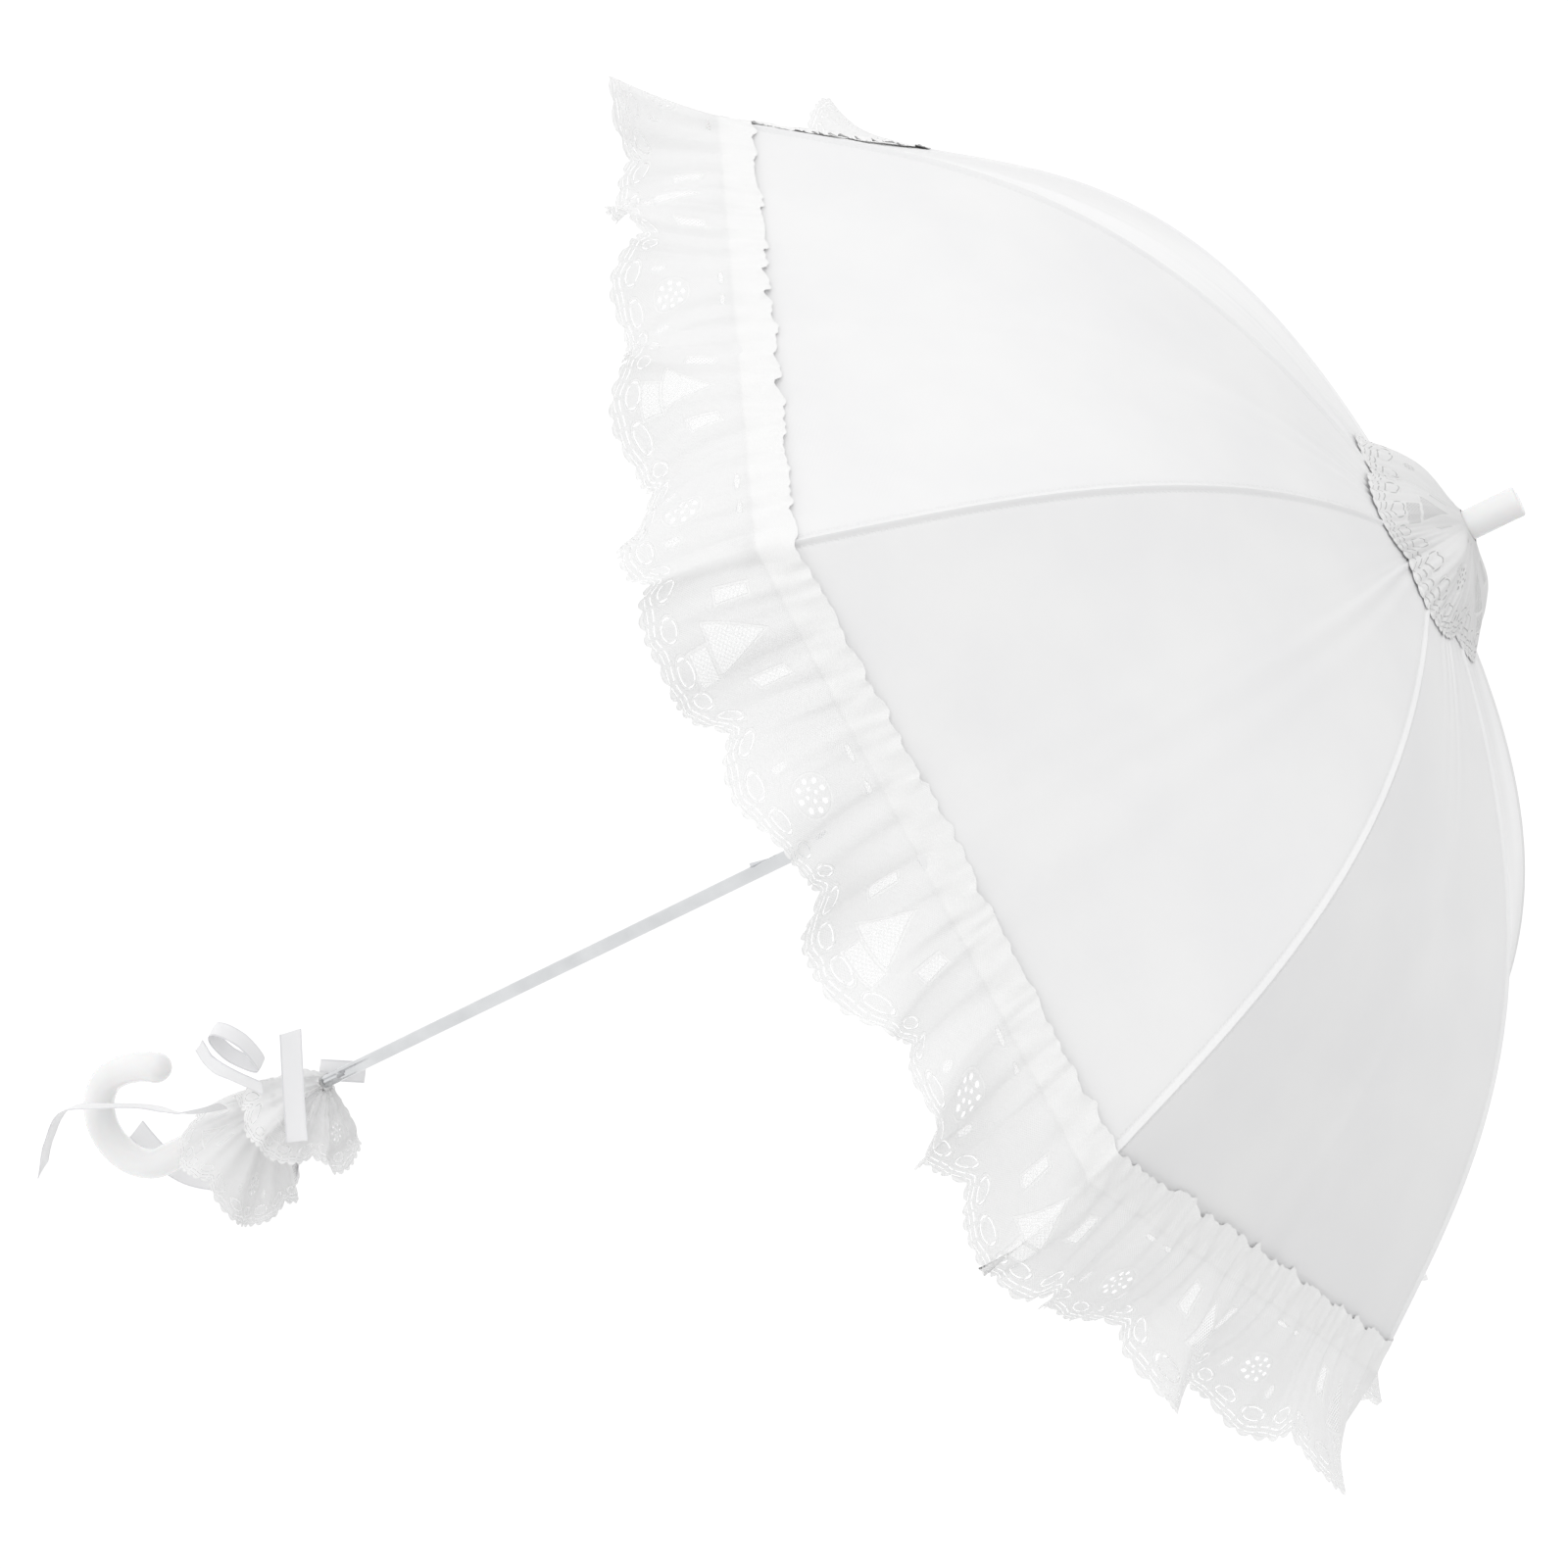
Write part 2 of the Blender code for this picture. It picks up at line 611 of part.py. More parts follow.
def ribbon_mesh(name, samples, flat_way, looped=False):
    """A strip of ribbon through the samples; flat_way is the direction of its width."""
    count = len(samples)
    width = Vector(flat_way).normalized()
    rings = []
    for index, point in enumerate(samples):
        after = samples[(index + 1) % count] if looped else samples[min(index + 1, count - 1)]
        before = samples[index - 1] if looped else samples[max(index - 1, 0)]
        normal = (after - before).cross(width).normalized()
        side = normal.cross(after - before).normalized()
        corners = ((1, 1), (-1, 1), (-1, -1), (1, -1))
        rings.append([point + a * side * RIBBON_WIDTH / 2 + b * normal * RIBBON / 2
                      for a, b in corners])
    return skin(name, rings, looped)


# Ribbon routes in millimetres, from the knot outwards
KNOT = (3, 17, 88)
LONG_TAIL = ((12.5, 18.5, 68), (14.5, 21.5, 60), (18, 26, 52), (22, 31, 48), (27, 34, 39), (33, 38, 23),
             (41, 35, -4), (34, 33, -25), (24, 30, -42))
BACK_TAIL = ((-13, -9, 84), (-24, -17, 68), (-36, -25, 44), (-30, -22, 22),
             (-18, -20, -4), (-6, -20, -17), (8, -20, -23), (19, -20, -26))
FRONT_TAIL = ((-17, 26, 104), (-4, 22, 108), (12, 18, 114), (29, 14, 121))
# Bow loops in millimetres: centre, half length and half height
SIDE_LOOP = ((34, 27, 100), (16, 6, -4), (2, 0, 7))
SHAFT_LOOP = ((0, -13, 114), (0, -1, 9.5), (0, 3.5, 0))


def loop_mesh(name, center, half_length, half_height):
    """A closed oval loop of ribbon."""
    center, half_length, half_height = [Vector(v) * MM for v in (center, half_length, half_height)]
    samples = []
    for step in range(16):
        turn = 2 * math.pi * step / 16
        samples.append(center + math.cos(turn) * half_length + math.sin(turn) * half_height)
    return ribbon_mesh(name, samples, half_length.cross(half_height), looped=True)


def tail_mesh(name, route, flat_way):
    return ribbon_mesh(name, smooth_route(route), flat_way)


def knot_mesh():
    """Rounded knot of the bow, in front of the band."""
    rings = []
    for x, reach in ((-6, 2.4), (-4, 3.6), (0, 4.2), (4, 3.6), (6, 2.4)):
        center = Vector((KNOT[0] + x, KNOT[1], KNOT[2])) * MM
        ring = circle(center, reach * MM, 8, Vector((0, 1, 0)), Vector((0, 0, 1)))
        rings.append(ring)
    return skin("bow_knot", rings)


def add_trimmings(materials):
    place("apex_rosette", rosette_mesh(), materials["lace"])
    place("neck_frill", frill_mesh(), materials["lace"])
    place("neck_band", band_mesh(), materials["ribbon"])
    place("bow_knot", knot_mesh(), materials["ribbon"])
    place("bow_loop_1", loop_mesh("bow_loop_1", *SIDE_LOOP), materials["ribbon"])
    place("bow_loop_2", loop_mesh("bow_loop_2", *SHAFT_LOOP), materials["ribbon"])
    place("ribbon_tail_1", tail_mesh("ribbon_tail_1", LONG_TAIL, (1, 0.3, 0)), materials["ribbon"])
    place("ribbon_tail_2", tail_mesh("ribbon_tail_2", BACK_TAIL, (1, 0, 1)), materials["ribbon"])
    place("ribbon_tail_3", tail_mesh("ribbon_tail_3", FRONT_TAIL, (-0.5, -0.4, 0.8)), materials["ribbon"])


def add_handle_and_ferrule(materials):
    place("handle_hook", handle_mesh(), materials["white_plastic"])
    place("ferrule", ferrule_mesh(), materials["white_plastic"])


def main():
    remove_all_objects()
    materials = {
        "white_plastic": make_material("white_plastic", (0.86, 0.86, 0.86), 0.22),
        "chrome": make_material("chrome", (0.72, 0.73, 0.74), 0.08, 1.0),
        "rib_steel": make_material("rib_steel", (0.62, 0.63, 0.65), 0.3, 1.0),
        "satin": make_material("satin", (0.88, 0.88, 0.88), 0.45),
        "lace": make_material("lace", (0.86, 0.86, 0.85), 0.7),
        "ribbon": make_material("ribbon", (0.87, 0.87, 0.88), 0.35),
    }
    add_handle_and_ferrule(materials)
    add_frame(materials)
    add_ribs(materials)
    add_trimmings(materials)


main()
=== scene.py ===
"""The looks of the lace parasol: satin, lace, ribbon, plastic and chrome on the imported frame."""
import math

import bmesh
import bpy
from mathutils import Matrix, Vector, noise


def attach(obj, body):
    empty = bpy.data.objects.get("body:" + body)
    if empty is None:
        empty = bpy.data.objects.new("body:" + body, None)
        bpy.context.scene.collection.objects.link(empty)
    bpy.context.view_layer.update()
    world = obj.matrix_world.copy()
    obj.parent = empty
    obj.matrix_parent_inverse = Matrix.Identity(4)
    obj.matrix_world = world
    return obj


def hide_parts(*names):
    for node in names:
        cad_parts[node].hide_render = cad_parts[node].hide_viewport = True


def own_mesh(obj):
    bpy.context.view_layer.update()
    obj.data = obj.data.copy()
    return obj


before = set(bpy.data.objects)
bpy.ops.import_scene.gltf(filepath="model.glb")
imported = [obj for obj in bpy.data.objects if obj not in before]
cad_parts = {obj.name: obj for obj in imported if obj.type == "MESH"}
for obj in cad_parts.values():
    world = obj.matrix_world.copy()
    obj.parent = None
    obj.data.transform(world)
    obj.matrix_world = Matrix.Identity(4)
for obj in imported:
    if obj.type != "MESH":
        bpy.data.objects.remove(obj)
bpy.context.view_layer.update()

MM = 0.001

# Sizes shared with the CAD model
RIB_COUNT = 8
SECTOR = 2 * math.pi / RIB_COUNT
FIRST_RIB = SECTOR / 2
RIM_Z = 535 * MM
RIM_RADIUS = 255 * MM
CROWN_Z = RIM_Z + 124 * MM
PIVOT_RADIUS = 9 * MM
SHOULDER = (166 * MM, 112 * MM)
FLANK = (202 * MM, 58 * MM)
RIB_LENGTH = 299 * MM
PANEL_SAG = 0.018
CLOTH_LIFT = 3.3 * MM
HUB_GAP = 6.5 * MM

# Lace, in millimetres along and across the strip: its pattern, then the strip that one panel takes
# up, the line it is sewn along, and how deep its gathers, folds and droop are
REPEAT = 50.0
HEADING = 15.0
SCALLOP = 9.0
LACE_WIDTH = 55.0
PICOT_PITCH = 4.167
PICOT = 1.5
HALF_STRIP = 112.5
STITCH = 9.0
RUFFLE_DEPTH = 2.2
FOLD_HEIGHT = 3.6
DROOP = 6.0
ROSETTE_CUT = 15.0
HEM_LIFT = 3.9 * MM

# Canopy cloth: columns beside a seam, in millimetres
SEAM_COLUMNS = (0.0, 0.3, 0.6, 0.95, 1.5, 2.3, 4.0)

# Handle, shaft and ferrule
WAIST_Z = 88 * MM
HANDLE_RADIUS = 7.4 * MM
HOOK_RADIUS = 24.5 * MM
CURL_RADIUS = 50 * MM
CURL_ANGLE = math.radians(30)
HANDLE_TOP = 105 * MM
FERRULE_TOP = RIM_Z + 162 * MM
FERRULE_RADIUS = 5.5 * MM
SHAFT_BORE = 3.35 * MM

# Frills, in millimetres: radius and height over the waist where each layer is tied in, the radius
# they keep clear round the bare shaft, and the share of a frill that lies under the ribbon
UPPER_TIE = (7.8, 15.0)
LOWER_TIE = (10.2, -4.0)
SHAFT_REACH = 3.2
NECK = 0.15

# Ribbons, in millimetres. A tail is the points of its route; a loop is its centre, half its length
# and half its height
RIBBON_WIDTH = 10.0
KNOT = (3, 17, 88)
LONG_TAIL = ((12.5, 18.5, 68), (14.5, 21.5, 60), (18, 26, 52), (23, 31, 48), (30, 34, 39), (38, 38, 23),
             (45, 35, -4), (36, 33, -25), (24, 30, -42))
BACK_TAIL = ((-13, -9, 84), (-24, -17, 68), (-36, -25, 44), (-30, -22, 22),
             (-18, -20, -4), (-6, -20, -17), (8, -20, -23), (19, -20, -26))
FRONT_TAIL = ((-17, 26, 104), (-4, 22, 108), (12, 18, 114), (29, 14, 121))
SHORT_TAIL = ((12, 25, 100), (26, 27, 88), (34, 26, 81), (43, 26, 80))
SIDE_LOOP = ((34, 27, 100), (12.5, 5, -3), (1.5, 0, 5))
SHAFT_LOOP = ((0, -13, 114), (-5.5, -4, 8), (0, 2.5, 2.5))

# The way down when the parasol is held at the angle it is shown at
DOWN = Vector((-0.8826, 0.2359, -0.4066))

# Stage: the floor, the dim side of the surround, the lamp, and the camera with its angles in degrees
FLOOR_Z = -0.9
FLOOR_GLOW = 0.2
FAR_SIDE = (0.0, -0.75, 0.66)
LAMP_WAY = (0.62, 0.70, 0.45)
LAMP_DISTANCE = 1.6
LAMP_SIZE = 1.2
LAMP_POWER = 1.2
CAMERA_PLACE = (0.0607, 0.7565, 0.7633)
CAMERA_AZIMUTH = 87.48
CAMERA_DIP = 25.83
CAMERA_ROLL = -63.14
FOCAL_LENGTH = 47.3


# ------------------------------------------------------------- materials

class Field:
    """A number that varies over a surface, written as ordinary arithmetic."""

    def __init__(self, tree, socket):
        self.tree = tree
        self.socket = socket

    def math(self, operation, *others):
        node = self.tree.nodes.new("ShaderNodeMath")
        node.operation = operation
        for index, value in enumerate((self,) + others):
            if isinstance(value, Field):
                self.tree.links.new(value.socket, node.inputs[index])
            else:
                node.inputs[index].default_value = value
        return Field(self.tree, node.outputs[0])

    def __add__(self, other):
        return self.math("ADD", other)

    def __sub__(self, other):
        return self.math("SUBTRACT", other)

    def __mul__(self, other):
        return self.math("MULTIPLY", other)

    def __truediv__(self, other):
        return self.math("DIVIDE", other)

    def absolute(self):
        return self.math("ABSOLUTE")

    def sin(self):
        return self.math("SINE")

    def least(self, other):
        return self.math("MINIMUM", other)

    def most(self, other):
        return self.math("MAXIMUM", other)

    def square(self):
        return self.math("MULTIPLY", self)

    def root(self):
        return self.math("SQRT")

    def cell(self, size):
        """Position inside a repeating cell of this size, centred on 0."""
        return ((self / size + 0.5).math("FRACT") - 0.5) * size

    def inverse(self):
        return (self * -1.0) + 1.0

    def step(self, low, high):
        """0 under low, 1 over high, smooth between."""
        node = self.tree.nodes.new("ShaderNodeMapRange")
        node.interpolation_type = "SMOOTHSTEP"
        self.tree.links.new(self.socket, node.inputs["Value"])
        node.inputs["From Min"].default_value = low
        node.inputs["From Max"].default_value = high
        node.inputs["To Min"].default_value = 0.0
        node.inputs["To Max"].default_value = 1.0
        return Field(self.tree, node.outputs["Result"])


def surface_fields(tree):
    """Along and across the piece, in millimetres, from its UV map."""
    uv = tree.nodes.new("ShaderNodeUVMap")
    uv.uv_map = "cut"
    split = tree.nodes.new("ShaderNodeSeparateXYZ")
    tree.links.new(uv.outputs["UV"], split.inputs["Vector"])
    along = Field(tree, split.outputs["X"]) * 100.0
    across = Field(tree, split.outputs["Y"]) * 100.0
    return along, across


def noise_field(tree, scale, detail=2.0):
    texture = tree.nodes.new("ShaderNodeTexNoise")
    texture.inputs["Scale"].default_value = scale
    texture.inputs["Detail"].default_value = detail
    coords = tree.nodes.new("ShaderNodeTexCoord")
    tree.links.new(coords.outputs["Object"], texture.inputs["Vector"])
    return Field(tree, texture.outputs["Fac"])


def new_material(name, color, roughness, **sockets):
    material = bpy.data.materials.new(name)
    material.use_nodes = True
    shader = material.node_tree.nodes["Principled BSDF"]
    shader.inputs["Base Color"].default_value = (*color, 1.0)
    shader.inputs["Roughness"].default_value = roughness
    for socket, value in sockets.items():
        shader.inputs[socket.replace("_", " ")].default_value = value
    return material, material.node_tree, shader


def set_color(tree, shader, field, dark, light):
    mix = tree.nodes.new("ShaderNodeMix")
    mix.data_type = "RGBA"
    mix.inputs["A"].default_value = (*dark, 1.0)
    mix.inputs["B"].default_value = (*light, 1.0)
    tree.links.new(field.socket, mix.inputs["Factor"])
    tree.links.new(mix.outputs["Result"], shader.inputs["Base Color"])


def set_bump(tree, shader, field, distance, strength=1.0):
    bump = tree.nodes.new("ShaderNodeBump")
    bump.inputs["Distance"].default_value = distance
    bump.inputs["Strength"].default_value = strength
    tree.links.new(field.socket, bump.inputs["Height"])
    tree.links.new(bump.outputs["Normal"], shader.inputs["Normal"])


def let_light_through(tree, shader, share, color):
    """Thin cloth: a share of the light that falls on one side comes out on the other."""
    behind = tree.nodes.new("ShaderNodeBsdfTranslucent")
    behind.inputs["Color"].default_value = (*color, 1.0)
    mix = tree.nodes.new("ShaderNodeMixShader")
    tree.links.new(share.socket, mix.inputs[0])
    tree.links.new(shader.outputs["BSDF"], mix.inputs[1])
    tree.links.new(behind.outputs["BSDF"], mix.inputs[2])
    tree.links.new(mix.outputs[0], tree.nodes["Material Output"].inputs["Surface"])


def set_roughness(tree, shader, field, low, high):
    tree.links.new((field * (high - low) + low).socket, shader.inputs["Roughness"])


def satin_weave(along, across, pitch):
    """Long floats of satin: fine ribs along the cloth, each broken by a stagger."""
    rib = (across * (2 * math.pi / pitch)).sin()
    stagger = (along * (2 * math.pi / (pitch * 8)) + across * (2.4 * math.pi / pitch)).sin()
    return rib * 0.6 + stagger * 0.4


def satin_material():
    material, tree, shader = new_material(
        "white_satin", (0.86, 0.86, 0.86), 0.42, Sheen_Weight=0.35, Sheen_Roughness=0.4,
        Specular_IOR_Level=0.45, Anisotropic=0.5)
    along, across = surface_fields(tree)
    weave = satin_weave(along, across, 0.5)
    slub = noise_field(tree, 26.0, 4.0)
    stitch_line = (along.absolute() - 1.7).absolute().step(0.55, 0.2)
    stitch = (across * (2 * math.pi / 2.4)).sin().step(-0.5, 0.0) * stitch_line
    set_bump(tree, shader, weave * 0.02 + slub * 0.12 - stitch * 0.25, 0.0006, 0.6)
    set_color(tree, shader, slub.step(0.25, 0.75), (0.845, 0.845, 0.85), (0.875, 0.875, 0.875))
    set_roughness(tree, shader, slub, 0.36, 0.48)
    return material


def net_field(along, across, pitch=1.35):
    """Threads of a diamond net: 1 on a thread, 0 in a hole."""
    turn = math.pi / pitch
    one = ((along + across) * turn).sin().absolute()
    other = ((along - across) * turn).sin().absolute()
    return one.least(other).step(0.5, 0.25)


def ellipse(along, across, reach_along, reach_across):
    """Squared distance from an ellipse's centre, 1 on its outline."""
    return (along / reach_along).square() + (across / reach_across).square()


def lace_fields(along, across):
    """Openness of the lace and its relief; scallops with a flower and with windows take turns."""
    x = along.cell(REPEAT)
    edge = ((x / (REPEAT / 2)).square() * -SCALLOP) + LACE_WIDTH - across
    flower = along.cell(2 * REPEAT)
    middle = (along + REPEAT).cell(2 * REPEAT)
    net = net_field(along, across)
    # net windows in the middle of every other scallop: a tall triangle and a short one beside it
    triangle = ((edge * -0.45) + 14.2 - (middle + 1.0).absolute()).least(edge - 16.2)
    short = ((middle - 2.0).absolute() * -1.0 + 4.8).least(edge - 9.8).least((edge * -1.0) + 15.2)
    door = ((middle.absolute() - 13.5).absolute() * -1.0 + 2.6 - edge * 0.04).least(edge - 21.0)
    door = door.least((edge * -1.0) + 30.0)
    window = triangle.most(short).most(door)
    # lens windows under the gathers, and a pair of leaves beside each flower
    lens = ellipse((along + 5.0).cell(REPEAT / 4), across - 18.5, 3.6, 0.8)
    lens = lens.most((flower.absolute() - 8.0).step(0.0, 1.0) * 4.0)
    leaf = ellipse(flower.absolute() - 11.0, edge - 15.0, 1.0, 2.4)
    netted = window.step(0.0, 0.3).most(lens.step(1.0, 0.7)).most(leaf.step(1.0, 0.75))
    # a petal in each fifth of the scallop: an open ring round a solid heart
    petal = ellipse(along.cell(REPEAT / 5), edge - 7.2, 3.3, 2.2)
    petals = petal.step(1.1, 1.0) * petal.step(0.66, 0.76)
    gaps = (along * (math.pi * 10 / REPEAT)).math("COSINE").absolute().step(0.1, 0.25)
    petals = petals * gaps
    # two broken slots that run in waves under the petals
    wave = (along * (2 * math.pi * 5 / REPEAT)).math("COSINE") * 0.5
    bars = (along * (math.pi * 15 / REPEAT)).sin().absolute().step(0.2, 0.45)
    slots = (edge - 3.7 + wave).absolute().step(0.3, 0.14)
    slots = slots.most((edge - 2.1 + wave).absolute().step(0.2, 0.08)) * bars
    # flower: a ring of eyelets round a heart
    dy = edge - 20.0
    radius = (flower.square() + dy.square()).root()
    turn = dy.math("ARCTAN2", flower)
    ring = ellipse(turn.cell(2 * math.pi / 8) * 4.0, radius - 4.0, 0.85, 0.95).step(1.0, 0.6)
    inner = ellipse(turn.cell(2 * math.pi / 4) * 1.6, radius - 1.6, 0.6, 0.65).step(1.0, 0.6)
    holes = petals.most(slots).most(ring).most(inner)
    # raised cord round the openings
    cord = (window + 0.35).absolute().step(0.5, 0.2) * 0.7
    cord = cord.most((lens - 1.3).absolute().step(0.3, 0.1))
    cord = cord.most((petal - 1.35).absolute().step(0.25, 0.1))
    cord = cord.most((radius - 6.0).absolute().step(0.5, 0.2) * 0.6)
    cord = cord.most((edge - 0.9).absolute().step(0.8, 0.3))
    # close knit of the solid parts
    knit = (along * (2 * math.pi / 0.9)).sin() * (across * (2 * math.pi / 0.7)).sin()
    open_part = (holes * 0.85).most(netted * (net.inverse() * 0.4 + 0.15))
    relief = cord + knit * 0.16 * netted.inverse() + netted * net * 0.2
    return open_part, relief


def lace_material(name, openness):
    """Openness below 1 is for lace gathered so closely that its openings fill up."""
    material, tree, shader = new_material(
        name, (0.95, 0.95, 0.945), 0.75, Sheen_Weight=0.2, Sheen_Roughness=0.5,
        Specular_IOR_Level=0.3)
    along, across = surface_fields(tree)
    open_part, relief = lace_fields(along, across)
    under_edge = across.step(HEADING - 1.0, HEADING + 1.0)
    cover = (open_part * under_edge * openness).inverse()
    tree.links.new(cover.socket, shader.inputs["Alpha"])
    set_bump(tree, shader, relief, 0.0004, 0.5)
    # painted shade and highlight: the colour follows the relief, lighter on raised cord and net threads
    # and darker in the low knit; the heading band is lighter as well
    set_color(tree, shader, relief.step(0.0, 0.9) * 0.6 + under_edge.inverse() * 0.4,
              (0.87, 0.87, 0.87), (0.97, 0.97, 0.965))
    let_light_through(tree, shader, cover * under_edge * (0.25 * openness), (0.92, 0.92, 0.92))
    return material


def ribbon_material():
    material, tree, shader = new_material(
        "satin_ribbon", (0.87, 0.87, 0.88), 0.3, Sheen_Weight=0.3, Anisotropic=0.6,
        Specular_IOR_Level=0.55)
    along, across = surface_fields(tree)
    weave = (across * (2 * math.pi / 0.35)).sin() * 0.5 + (along * (2 * math.pi / 0.35)).sin() * 0.2
    selvedge = across.absolute().step(4.2, 4.6)
    cord = (along * (2 * math.pi / 0.7)).sin() * selvedge
    set_bump(tree, shader, weave * 0.06 + cord * 0.2 + selvedge * 0.5, 0.0004, 0.7)
    set_color(tree, shader, selvedge, (0.87, 0.87, 0.88), (0.8, 0.8, 0.82))
    return material


def plastic_material():
    material, tree, shader = new_material(
        "moulded_plastic", (0.86, 0.86, 0.86), 0.2, Specular_IOR_Level=0.55, Coat_Weight=0.4,
        Coat_Roughness=0.08, Subsurface_Weight=0.08, Subsurface_Scale=0.003)
    flow = noise_field(tree, 40.0, 3.0)
    dust = noise_field(tree, 900.0, 1.0)
    set_color(tree, shader, flow.step(0.3, 0.7), (0.85, 0.85, 0.85), (0.88, 0.88, 0.88))
    set_roughness(tree, shader, flow, 0.14, 0.3)
    set_bump(tree, shader, flow * 0.8 + dust * 0.1, 0.0002, 0.35)
    return material


def chrome_material():
    material, tree, shader = new_material("chrome_plate", (0.52, 0.53, 0.54), 0.07, Metallic=1.0)
    haze = noise_field(tree, 60.0, 4.0)
    fine = noise_field(tree, 1400.0, 1.0)
    set_roughness(tree, shader, haze.step(0.4, 0.8), 0.05, 0.15)
    set_color(tree, shader, haze, (0.54, 0.55, 0.56), (0.76, 0.77, 0.78))
    set_bump(tree, shader, fine, 0.00002, 0.3)
    return material


def steel_material():
    material, tree, shader = new_material("bright_steel", (0.6, 0.61, 0.63), 0.3, Metallic=1.0,
                                          Anisotropic=0.5)
    drawn = noise_field(tree, 300.0, 3.0)
    spots = noise_field(tree, 45.0, 3.0)
    set_roughness(tree, shader, spots, 0.22, 0.42)
    set_color(tree, shader, spots.step(0.3, 0.7), (0.55, 0.56, 0.58), (0.68, 0.69, 0.71))
    set_bump(tree, shader, drawn, 0.00005, 0.4)
    return material


def floor_material():
    material, tree, shader = new_material("pale_floor", (0.95, 0.95, 0.95), 0.9)
    shader.inputs["Emission Color"].default_value = (1, 1, 1, 1)
    shader.inputs["Emission Strength"].default_value = FLOOR_GLOW
    set_color(tree, shader, noise_field(tree, 3.0), (0.94, 0.94, 0.94), (0.96, 0.96, 0.96))
    return material


# ------------------------------------------------------------ mesh helpers

def grid_mesh(name, rows, cuts, closed=False):
    """A sheet through rows of points; cuts are the same places on the flat cloth, in mm."""
    bm = bmesh.new()
    layer = bm.loops.layers.uv.new("cut")
    verts = [[bm.verts.new(point) for point in row] for row in rows]
    columns = len(rows[0])
    for row in range(len(rows) - 1):
        for column in range(columns if closed else columns - 1):
            after = (column + 1) % columns
            corners = ((row, column), (row, after), (row + 1, after), (row + 1, column))
            face = bm.faces.new([verts[r][c] for r, c in corners])
            for loop, (r, c) in zip(face.loops, corners):
                place = cuts[r][c] if not (closed and c == 0 and after == 0) else cuts[r][columns]
                loop[layer].uv = (place[0] / 100, place[1] / 100)
    mesh = bpy.data.meshes.new(name)
    bm.to_mesh(mesh)
    bm.free()
    mesh.shade_smooth()
    return mesh


def add_piece(name, mesh, material, body):
    obj = bpy.data.objects.new(name, mesh)
    bpy.context.scene.collection.objects.link(obj)
    mesh.materials.append(material)
    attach(obj, body)
    return obj


def thicken(obj, thickness, offset=-1.0):
    modifier = obj.modifiers.new("thickness", "SOLIDIFY")
    modifier.thickness = thickness
    modifier.offset = offset
    apply_modifiers(obj)


def apply_modifiers(obj):
    depsgraph = bpy.context.evaluated_depsgraph_get()
    mesh = bpy.data.meshes.new_from_object(obj.evaluated_get(depsgraph))
    obj.modifiers.clear()
    mesh.set_sharp_from_angle(angle=math.radians(50))
    obj.data = mesh


def circle(center, radius, sides, across=Vector((1, 0, 0)), along=Vector((0, 1, 0))):
    points = []
    for side in range(sides):
        turn = 2 * math.pi * side / sides
        points.append(Vector(center) + radius * (math.cos(turn) * across + math.sin(turn) * along))
    return points


def skin(name, rings, looped=False):
    """Joins rings of points into one closed body."""
    bm = bmesh.new()
    rows = [[bm.verts.new(point) for point in ring] for ring in rings]
    sides = len(rows[0])
    for row in range(len(rows) if looped else len(rows) - 1):
        upper = rows[row]
        lower = rows[(row + 1) % len(rows)]
        for side in range(sides):
            after = (side + 1) % sides
            bm.faces.new((upper[side], upper[after], lower[after], lower[side]))
    if not looped:
        bm.faces.new(rows[0])
        bm.faces.new(rows[-1])
    bmesh.ops.recalc_face_normals(bm, faces=bm.faces)
    mesh = bpy.data.meshes.new(name)
    bm.to_mesh(mesh)
    bm.free()
    mesh.shade_smooth()
    mesh.set_sharp_from_angle(angle=math.radians(40))
    return mesh


# ------------------------------------------------------------- dome curves

def rib_point(share):
    """Radius and height of the rib's centre line, from the crown (0) to the rim (1)."""
    knots = (
        (PIVOT_RADIUS, CROWN_Z),
        (SHOULDER[0], RIM_Z + SHOULDER[1]),
        (FLANK[0], RIM_Z + FLANK[1]),
        (RIM_RADIUS, RIM_Z),
    )
    rest = 1 - share
    weights = (rest**3, 3 * rest**2 * share, 3 * rest * share**2, share**3)
    radius = sum(weight * knot[0] for weight, knot in zip(weights, knots))
    height = sum(weight * knot[1] for weight, knot in zip(weights, knots))
    return radius, height


def rib_offset(share, lift, beyond=0.0):
    """A point lifted off the rib's centre line, and carried on past its end."""
    step = 0.001
    start = rib_point(max(0.0, share - step))
    end = rib_point(min(1.0, share + step))
    length = math.hypot(end[0] - start[0], end[1] - start[1])
    run, rise = (end[0] - start[0]) / length, (end[1] - start[1]) / length
    radius, height = rib_point(min(1.0, share))
    return radius - rise * lift + run * beyond, height + run * lift + rise * beyond


def dome_point(share, lift, beyond, turn, heading):
    """A place on the cloth: turn is its angle from the rib, heading the rib's own direction."""
    half = SECTOR / 2
    radius, height = rib_offset(share, lift, beyond)
    if share <= 0.0:
        radius = HUB_GAP
    across = half - abs(turn)
    chord = math.cos(half) / math.cos(across)
    hollow = PANEL_SAG * math.sin(math.pi * min(1.0, share)) * (1 - (across / half)**2)
    reach = radius * chord * (1 - hollow)
    return Vector((reach * math.cos(heading + turn), reach * math.sin(heading + turn), height))


def dome_normal(share, beyond, turn, heading):
    """Outward normal of the cloth at that place."""
    nudge = 0.004
    up = dome_point(share - nudge, 0.0, beyond, turn, heading)
    past = beyond + (nudge * RIB_LENGTH if share >= 1 else 0.0)
    down = dome_point(min(1.0, share + nudge), 0.0, past, turn, heading)
    left = dome_point(share, 0.0, beyond, turn - nudge, heading)
    right = dome_point(share, 0.0, beyond, turn + nudge, heading)
    normal = (down - up).cross(right - left)
    return normal.normalized()


def rib_heading(number):
    return FIRST_RIB + (number - 1) * SECTOR


